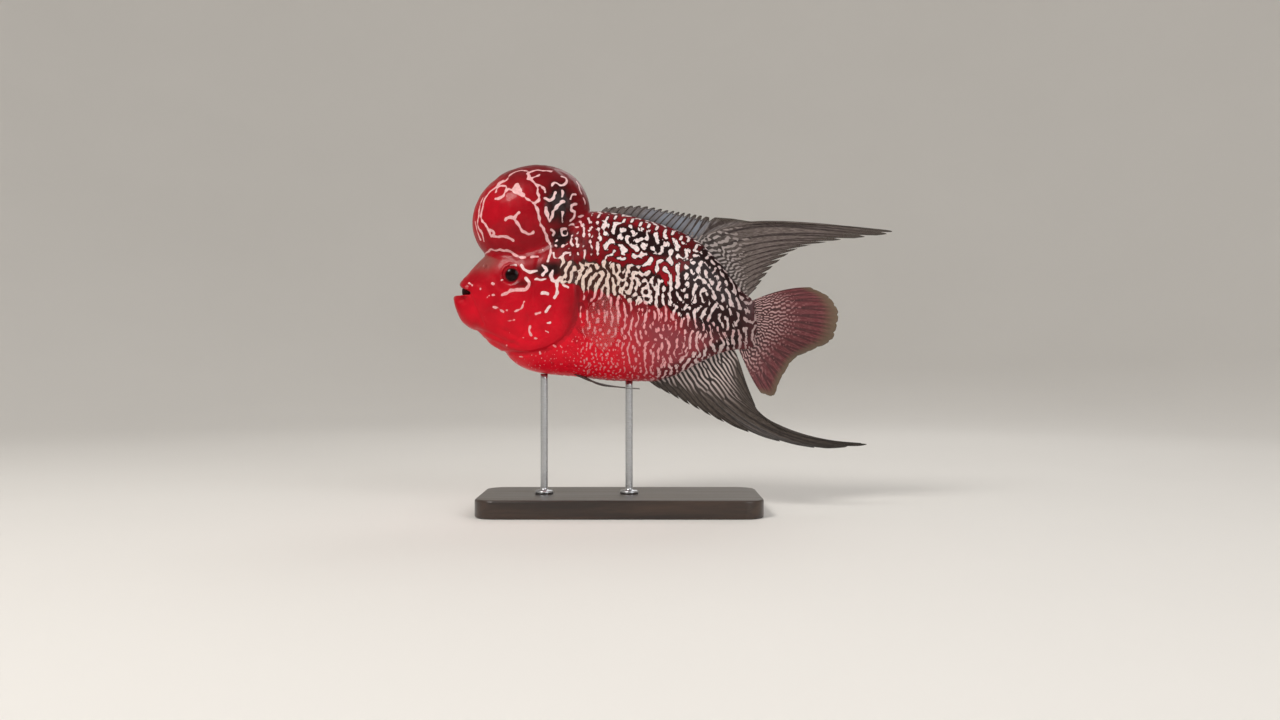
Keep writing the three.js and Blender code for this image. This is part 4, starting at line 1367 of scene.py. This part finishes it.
@dataclass
class MiddleFin:
    """A fin in the middle plane: a membrane over rays whose curves vary along the fin."""

    name: str
    node: str
    slot: str
    rays: int
    shape: tuple[Ray, ...]
    notch: Profile
    sway: Profile
    membrane: float = 0.4
    ridge: float = 0.42
    root: float = 2.0
    bend: float = 1.7
    across: int = 8
    along: int = 64
    split: float = 0.5
    seed: int = 3
    worm_reach: float = 0.35
    worm_bar: float = 0.2
    worm_lean: float = 0.5
    worm_length: float = 9.0
    sheen: tuple[float, float, float, float] = (9.0, 9.1, 9.2, 9.3)
    worm_cells: float = 3.4
    worm_span: tuple[float, float] = (2.0, 3.0)
    dark_edge: float = 0.0

    def bezier(self, u: Array, t: Array) -> Array:
        """The place on the ray at u, a share t of the way out: a cubic of four guides in X and Z."""
        guides = [[Profile(tuple((row[0], row[1 + k][axis]) for row in self.shape))(u)
                   for axis in (0, 1)] for k in range(4)]
        weights = ((1 - t) ** 3, 3 * t * (1 - t) ** 2, 3 * t * t * (1 - t), t**3)
        x, z = (sum(w * g[axis] for w, g in zip(weights, guides)) for axis in (0, 1))
        return np.stack([x, self.sway(u) * t**self.bend, z], axis=-1)

    def build(self, finish: "FinSkin") -> bpy.types.Object:
        """Makes the fin.

        The membrane's edge is drawn in between rays by a power of the distance from the ray. Rays are
        bell-shaped ridges that split in two on their way out, and both thin towards the edge.
        """
        columns, rows = self.rays * self.across + 1, self.along + 1
        u, v = np.meshgrid(np.linspace(0, 1, columns), np.linspace(0, 1, rows), indexing="ij")
        count = u * self.rays
        off = count - np.round(count)
        draw = np.random.default_rng(self.seed)
        uneven = 1 - 0.02 * draw.random(self.rays + 1)[np.round(count).astype(int)]
        spread = 0.2 * smooth_step(self.split, self.split + 0.35, v) * smooth_step(0.3, 0.6, u if self.name == "dorsal" else u * 0 + 1)
        inner = (np.abs(off) - spread) / 0.15
        crest = np.exp(-(inner**2))
        cut = self.notch(u) * smooth_step(0.1, 0.5, np.abs(off) - spread * 0.6)
        reach = v * uneven * (1 - cut * v**2)
        middle = self.bezier(u, reach)
        smooth = self.bezier(u, v)
        du, dv = np.gradient(smooth, axis=0), np.gradient(smooth, axis=1)
        normal = np.cross(du, dv)
        normal /= np.maximum(np.linalg.norm(normal, axis=-1, keepdims=True), 1e-9)
        joints = 1 - 0.12 * (np.sin(v * self.along * 2.1 + off * 0) > 0.6)
        thick = (self.membrane * (1 - 0.45 * v) + self.ridge * crest * (1 - 0.75 * v) * joints
                 + self.root * np.clip(1 - 5 * v, 0, 1) ** 2) / 2
        top = middle + normal * thick[..., None]
        under = middle - normal * thick[..., None]
        points = np.concatenate([top.reshape(-1, 3), under.reshape(-1, 3)])
        piece = make_mesh(self.name + "_fin_membrane", points, shell_faces(columns, rows))
        both = lambda grid: np.concatenate([grid.ravel(), grid.ravel()])
        length = np.linalg.norm(dv, axis=-1).sum(axis=1, keepdims=True) * v
        add_map(piece, "FinMap", np.stack([both(count), both(length / 10)], axis=1))
        tile = labyrinth((384, 384), (Weave(self.worm_length, self.worm_lean, -0.4),), self.seed)
        worm = sampled(tile, count * 12.0, length * self.worm_cells)
        fade = smooth_step(self.worm_reach * 0.5, self.worm_reach, v + 0.06 * np.sin(count * 3.0))
        between = 0.55 * np.cos(2 * math.pi * off) * self.worm_lean
        worm = (worm - between - self.worm_bar - 2.5 * fade - 3 * smooth_step(*self.worm_span, u)) * 0.5
        add_field(piece, "pale", both(worm))
        add_field(piece, "crest", both(crest))
        add_field(piece, "margin", both(smooth_step(0.8, 1.0, v)))
        # Painted sheen on the spiny dorsal's membranes, stored for FinSkin.
        a, b, c, d = self.sheen
        painted_sheen = smooth_step(a, b, u) * smooth_step(d, c, u) * smooth_step(0.05, 0.35, v)
        add_field(piece, "sheen", both(painted_sheen * (0.75 + 0.25 * np.sin(count * 2.3))))
        edge = self.dark_edge * smooth_step(0.9, 0.99, v) + 0.85 * smooth_step(self.worm_reach, 0.0, v)
        add_field(piece, "dark", both(np.clip(edge, 0, 1)))
        piece.data.materials.append(finish.make(self.name + "_fin_skin"))
        return finished(piece, self.slot, self.node)


DORSAL_RAYS: tuple[Ray, ...] = (
    (0, (-17, 192), (-14, 197), (-11.5, 199.2), (-9, 200.8)),
    (0.12, (2, 190), (5, 196.5), (8, 200), (11, 201.9)),
    (0.27, (19, 186), (24, 192.5), (28.5, 196.5), (32, 198.9)),
    (0.42, (35, 179), (40, 186), (45, 191.5), (48.5, 196.4)),
    (0.53, (46, 173), (53, 181), (59, 188), (64, 194)),
    (0.6, (50, 170), (57, 201), (114, 191.5), (181, 184)),
    (0.68, (56, 163), (73, 182), (108, 183), (152, 179.6)),
    (0.78, (63, 154), (78, 167), (96, 171), (121, 174.6)),
    (0.89, (71, 145), (82, 155.5), (90.5, 159), (101.5, 162.4)),
    (1, (80, 137), (85, 142.5), (87, 144.5), (89.5, 147)))
ANAL_RAYS: tuple[Ray, ...] = (
    (0, (14, 90), (19, 86), (22.5, 83.2), (25.5, 81.5)),
    (0.2, (27, 94), (35, 83), (42, 76), (48.5, 69.2)),
    (0.36, (37, 98), (48, 79), (59, 66), (72, 57.4)),
    (0.46, (43, 101), (54, 79), (76, 56), (108, 45.4)),
    (0.54, (48, 104), (61, 75), (92, 48), (140, 40.8)),
    (0.62, (52, 106), (66, 75), (104, 45.5), (166, 43.8)),
    (0.75, (59, 108), (72, 80), (96, 54), (130, 47.2)),
    (0.88, (66, 110), (75, 90), (84, 74), (97, 59)),
    (1, (74, 111), (78, 102), (80.3, 95), (82, 87)))
CAUDAL_RAYS: tuple[Ray, ...] = (
    (0, (80, 136), (96, 143.5), (110, 148.5), (126, 147.8)),
    (0.15, (80, 133), (99, 139), (120, 144.5), (138.5, 141)),
    (0.3, (80, 130), (100, 131), (125, 131), (144.4, 128.4)),
    (0.44, (80, 127), (100, 125), (122, 120), (141.5, 115)),
    (0.56, (80, 124), (98, 119), (117, 112), (130, 107)),
    (0.68, (79, 121), (94, 113), (108, 105), (117, 101)),
    (0.8, (78, 118), (90, 107), (101, 96), (108, 87.5)),
    (0.91, (77, 115), (86, 101), (95, 85), (101.5, 75.4)),
    (1, (76, 112), (82, 99), (87, 86), (93.5, 78)))


@dataclass
class PairedFin:
    """A pectoral or pelvic fin on one side: a fan of rays from a short root."""

    side: Side
    pectoral: bool
    rays: int = 12
    across: int = 6
    along: int = 30
    membrane: float = 0.34
    ridge: float = 0.3

    def middle(self, u: Array, t: Array) -> Array:
        """The fan's middle surface: rays leave the root at angles spread by u, or run back along the
        belly between an outer and an inner curve."""
        s = self.side.value
        if self.pectoral:
            x0, z0, tall, long = -27.0, 124.5, 8.0, 28.5
            root = float(FORM.side(np.array(x0), np.array(z0))) - 1.5
            angle = 0.6 - 1.34 * u
            length = long * (0.84 + 0.16 * np.sin(math.pi * u)) * t
            out = 0.33 - 0.1 * u
            return np.stack([x0 + length * np.cos(angle) * np.cos(out),
                             s * (root + length * np.sin(out) * (1 - 0.25 * t)),
                             z0 + tall * (0.5 - u) + length * np.sin(angle)], axis=-1)
        outer = ((-33, 8, 93), (-20, 10.5, 84), (-4, 11, 82), (13, 9.5, 81))
        inner = ((-26, 5, 93), (-21, 5, 86.5), (-16, 5, 83.5), (-9, 5, 82.6))
        weights = ((1 - t) ** 3, 3 * t * (1 - t) ** 2, 3 * t * t * (1 - t), t**3)
        x, y, z = (sum(w * (o[k] + (i[k] - o[k]) * u) for w, o, i in zip(weights, outer, inner)) for k in range(3))
        return np.stack([x, s * y, z], axis=-1)

    def build(self, finish: "FinSkin") -> bpy.types.Object:
        """Makes the fan with a ridge on each ray, which splits in two on its way out."""
        columns, rows = self.rays * self.across + 1, self.along + 1
        u, v = np.meshgrid(np.linspace(0, 1, columns), np.linspace(0, 1, rows), indexing="ij")
        count = u * self.rays
        off = count - np.round(count)
        spread = 0.22 * smooth_step(0.45, 0.8, v)
        crest = np.exp(-(((np.abs(off) - spread) / 0.16) ** 2))
        reach = v * (1 - 0.05 * smooth_step(0.15, 0.5, np.abs(off)) * v**2)
        middle, smooth = self.middle(u, reach), self.middle(u, v)
        normal = np.cross(np.gradient(smooth, axis=0), np.gradient(smooth, axis=1))
        normal /= np.maximum(np.linalg.norm(normal, axis=-1, keepdims=True), 1e-9)
        if self.side is Side.RIGHT:
            normal = -normal
        thick = (self.membrane * (1 - 0.3 * v) + self.ridge * crest * (1 - 0.7 * v)
                 + 1.4 * np.clip(1 - 5 * v, 0, 1) ** 2) / 2
        points = np.concatenate([(middle + sign * normal * thick[..., None]).reshape(-1, 3) for sign in (1, -1)])
        faces = shell_faces(columns, rows)
        kind = "pectoral" if self.pectoral else "pelvic"
        piece = make_mesh(f"{kind}_membrane_{self.side.word}", points, faces)
        Skin().outward(piece)
        both = lambda grid: np.concatenate([grid.ravel(), grid.ravel()])
        add_map(piece, "FinMap", np.stack([both(count), both(v * 3)], axis=1))
        add_field(piece, "pale", both(v * 0 - 1))
        add_field(piece, "crest", both(crest))
        add_field(piece, "margin", both(smooth_step(0.6, 1.0, v)))
        add_field(piece, "dark", both(v * 0))
        piece.data.materials.append(finish.make(f"{kind}_skin_{self.side.word}"))
        return finished(piece, "clear_fin", f"{kind}_fin_{self.side.word}")


# ---- stand and studio


@dataclass
class Stand:
    """A dark wooden base with rounded edges and two steel rods up to the belly."""

    length: float = 184.0
    width: float = 84.0
    height: float = 12.0
    corner: float = 14.0
    bevel: float = 1.5
    rod_radius: float = 2.4
    rods: tuple[float, float] = (-50.0, 6.0)

    def outline(self, inset: float, z: float, steps: int = 96) -> Array:
        """A rounded rectangle drawn in by inset at a height: four quarter turns about its corners."""
        angle = np.linspace(0, 2 * math.pi, steps, endpoint=False)
        quarter = np.floor(angle / (math.pi / 2)).astype(int)
        sx = np.where((quarter == 0) | (quarter == 3), 1, -1)
        sy = np.where(quarter < 2, 1, -1)
        r = self.corner - inset
        return np.stack([sx * (self.length / 2 - self.corner) + r * np.cos(angle),
                         sy * (self.width / 2 - self.corner) + r * np.sin(angle),
                         np.full(steps, z)], axis=1)

    def build(self) -> None:
        """Makes the base and both rods."""
        turn = np.linspace(0, math.pi / 2, 7)
        b = self.bevel
        low = [self.outline(b * (1 - math.sin(t)), b * (1 - math.cos(t))) for t in turn]
        high = [self.outline(b * (1 - math.cos(t)), self.height - b * (1 - math.sin(t))) for t in turn]
        flat = [self.outline(8.0, 0.0)], [self.outline(8.0, self.height)]
        rings = [*flat[0], *low, *high, *flat[1]]
        points, faces = with_poles(np.concatenate(rings), len(rings), 96)
        base = make_mesh("wooden_base", points, faces)
        Skin().outward(base)
        base.data.materials.append(StainedWood().make("stained_wood"))
        finished(base, "dark_wood", "stand_base")
        steel = BrushedSteel().make("brushed_steel")
        for word, x in zip(("front", "rear"), self.rods):
            top = float(FORM.belly(x)) - 0.05
            heights = ((12.0, 0.0), (12.0, 5.6), (12.3, 6.0), (13.6, 6.0), (14.2, 5.5), (14.4, 3.0),
                       (14.9, 2.45), (16, self.rod_radius), (top - 3, self.rod_radius), (top, self.rod_radius))
            angle = np.linspace(0, 2 * math.pi, 40, endpoint=False)
            rings = [np.stack([x + max(r, 0.01) * np.cos(angle), max(r, 0.01) * np.sin(angle),
                               np.full(40, h)], axis=1) for h, r in heights]
            points, faces = with_poles(np.concatenate(rings), len(rings), 40)
            rod = make_mesh(f"steel_rod_{word}", points, faces)
            Skin().outward(rod)
            rod.data.materials.append(steel)
            finished(rod, "steel", f"stand_rod_{word}")


@dataclass
class Studio:
    """A pale floor, soft light and a level camera before the fish's left side."""

    lens: float = 34.1
    distance: float = 800.0
    x: float = 13.2
    z: float = 100.0

    def build(self) -> None:
        """Makes floor, lights, world and camera."""
        turn = np.linspace(0, math.pi / 2, 24)
        radius = np.concatenate([[1.0, 400.0, 800.0], 1100 + 1500 * np.sin(turn), [2600.0]])[:, None]
        z = np.concatenate([[0.0] * 3, 1500 * (1 - np.cos(turn)), [3600.0]])[:, None]
        angle = np.linspace(0, 2 * math.pi, 96, endpoint=False)[None, :]
        bowl = np.stack([radius * np.cos(angle), radius * np.sin(angle), z + 0 * angle], axis=-1)
        faces = grid_faces(len(radius), 96, closed=True)[:, ::-1].tolist() + [list(range(96))]
        floor = make_mesh("studio_floor", bowl.reshape(-1, 3), faces)
        g = Graph("pale_floor")
        shade = g.noise(g.place(), 3.0, 3)
        floor.data.materials.append(g.set(
            Base_Color=g.blend(shade, (0.78, 0.76, 0.73), (0.82, 0.8, 0.77)), Roughness=0.8))
        lights = (("key", (-0.75, -0.95, 1.15), 0.5, 14.0, (1.0, 0.97, 0.93)),
                  ("fill", (1.0, -1.2, 0.85), 1.1, 8.5, (0.97, 0.98, 1.0)),
                  ("rim", (0.4, 0.9, 0.9), 0.7, 2.5, (1.0, 1.0, 1.0)))
        for name, place, wide, power, colour in lights:
            data = bpy.data.lights.new(name, "AREA")
            data.shape, data.size, data.energy, data.color = "DISK", wide, power, colour
            lamp = bpy.data.objects.new(name, data)
            lamp.location = place
            lamp.visible_camera = False
            lamp.rotation_euler = (Vector((0, 0, 0.14)) - Vector(place)).to_track_quat("-Z", "Y").to_euler()
            bpy.context.scene.collection.objects.link(lamp)
        world = bpy.data.worlds.new("studio_world")
        bpy.context.scene.world = world
        world.use_nodes = True
        world.node_tree.nodes["Background"].inputs[0].default_value = (0.9, 0.88, 0.85, 1)
        world.node_tree.nodes["Background"].inputs[1].default_value = 0.5
        data = bpy.data.cameras.new("camera")
        data.lens, data.sensor_width = self.lens, 36.0
        camera = bpy.data.objects.new("camera", data)
        camera.location = (self.x * MM, -self.distance * MM, self.z * MM)
        camera.rotation_euler = (math.pi / 2, 0, 0)
        bpy.context.scene.collection.objects.link(camera)
        bpy.context.scene.camera = camera
        bpy.context.scene.view_settings.view_transform = "Standard"


def main() -> None:
    """Builds the fish, its stand and the studio."""
    logging.basicConfig(level=logging.INFO, format="%(name)s %(message)s")
    Studio().build()
    Skin().build()
    Skin().lining()
    scale_skin = WetSkin(scaly=True).make("wet_scales")
    for side in Side:
        Scales(side).build(scale_skin)
        Eye(side).build()
    grey = FinSkin((0.085, 0.063, 0.057), (0.018, 0.01, 0.01), (0.2, 0.162, 0.148), (0.055, 0.04, 0.03))
    striped = FinSkin((0.036, 0.026, 0.02), (0.01, 0.006, 0.005), (0.09, 0.068, 0.057), (0.02, 0.015, 0.01),
                      (0.55, 0.45, 0.43), alpha=0.95, edge_alpha=0.85)
    maroon = FinSkin((0.13, 0.022, 0.028), (0.055, 0.014, 0.016), (0.2, 0.06, 0.065), (0.15, 0.1, 0.06),
                     (0.46, 0.28, 0.275), alpha=0.95, edge_alpha=0.75)
    MiddleFin("dorsal", "dorsal_fin", "fin_skin", 30, DORSAL_RAYS,
              Profile(((0, 0.2), (0.5, 0.16), (0.6, 0.03), (0.7, 0.12), (0.8, 0.2), (1, 0.26))),
              Profile(((0, 0), (0.5, 0), (0.6, -7), (0.7, -4), (1, 0))), seed=3, dark_edge=0.6,
              sheen=(0.05, 0.3, 0.5, 0.56),
              worm_reach=0.6, worm_span=(0.5, 0.38), worm_cells=4.2).build(grey)
    MiddleFin("anal", "anal_fin", "fin_skin", 18, ANAL_RAYS,
              Profile(((0, 0.3), (0.36, 0.16), (0.5, 0.06), (0.62, 0.02), (0.75, 0.06), (1, 0.14))),
              Profile(((0, 0), (0.4, 1), (0.6, 8), (0.75, 5), (1, 0))), seed=4, across=12,
              worm_reach=0.6, worm_lean=0.75, worm_length=10.0,
              worm_cells=2.2, dark_edge=0.6).build(striped)
    MiddleFin("caudal", "caudal_fin", "tail_skin", 16, CAUDAL_RAYS, Profile(((0, 0.02), (1, 0.02))),
              Profile(((0, -3), (0.3, 0), (0.5, 7), (0.68, 14), (0.85, 10), (1, 3))), root=3.4,
              seed=5, across=14, worm_reach=0.9, worm_bar=0.3, worm_cells=4.6, worm_lean=0.3,
              worm_length=8.0).build(maroon)
    clear = FinSkin((0.5, 0.12, 0.12), (0.3, 0.06, 0.06), (0.6, 0.2, 0.2), (0.55, 0.3, 0.28), (0.6, 0.3, 0.3),
                    alpha=0.06, edge_alpha=0.02, ripple=0.002, coat=0.02)
    for side in Side:
        PairedFin(side, True).build(clear)
        PairedFin(side, False, rays=6, across=8, along=36).build(grey)
    Stand().build()


if __name__ == "__main__":
    main()
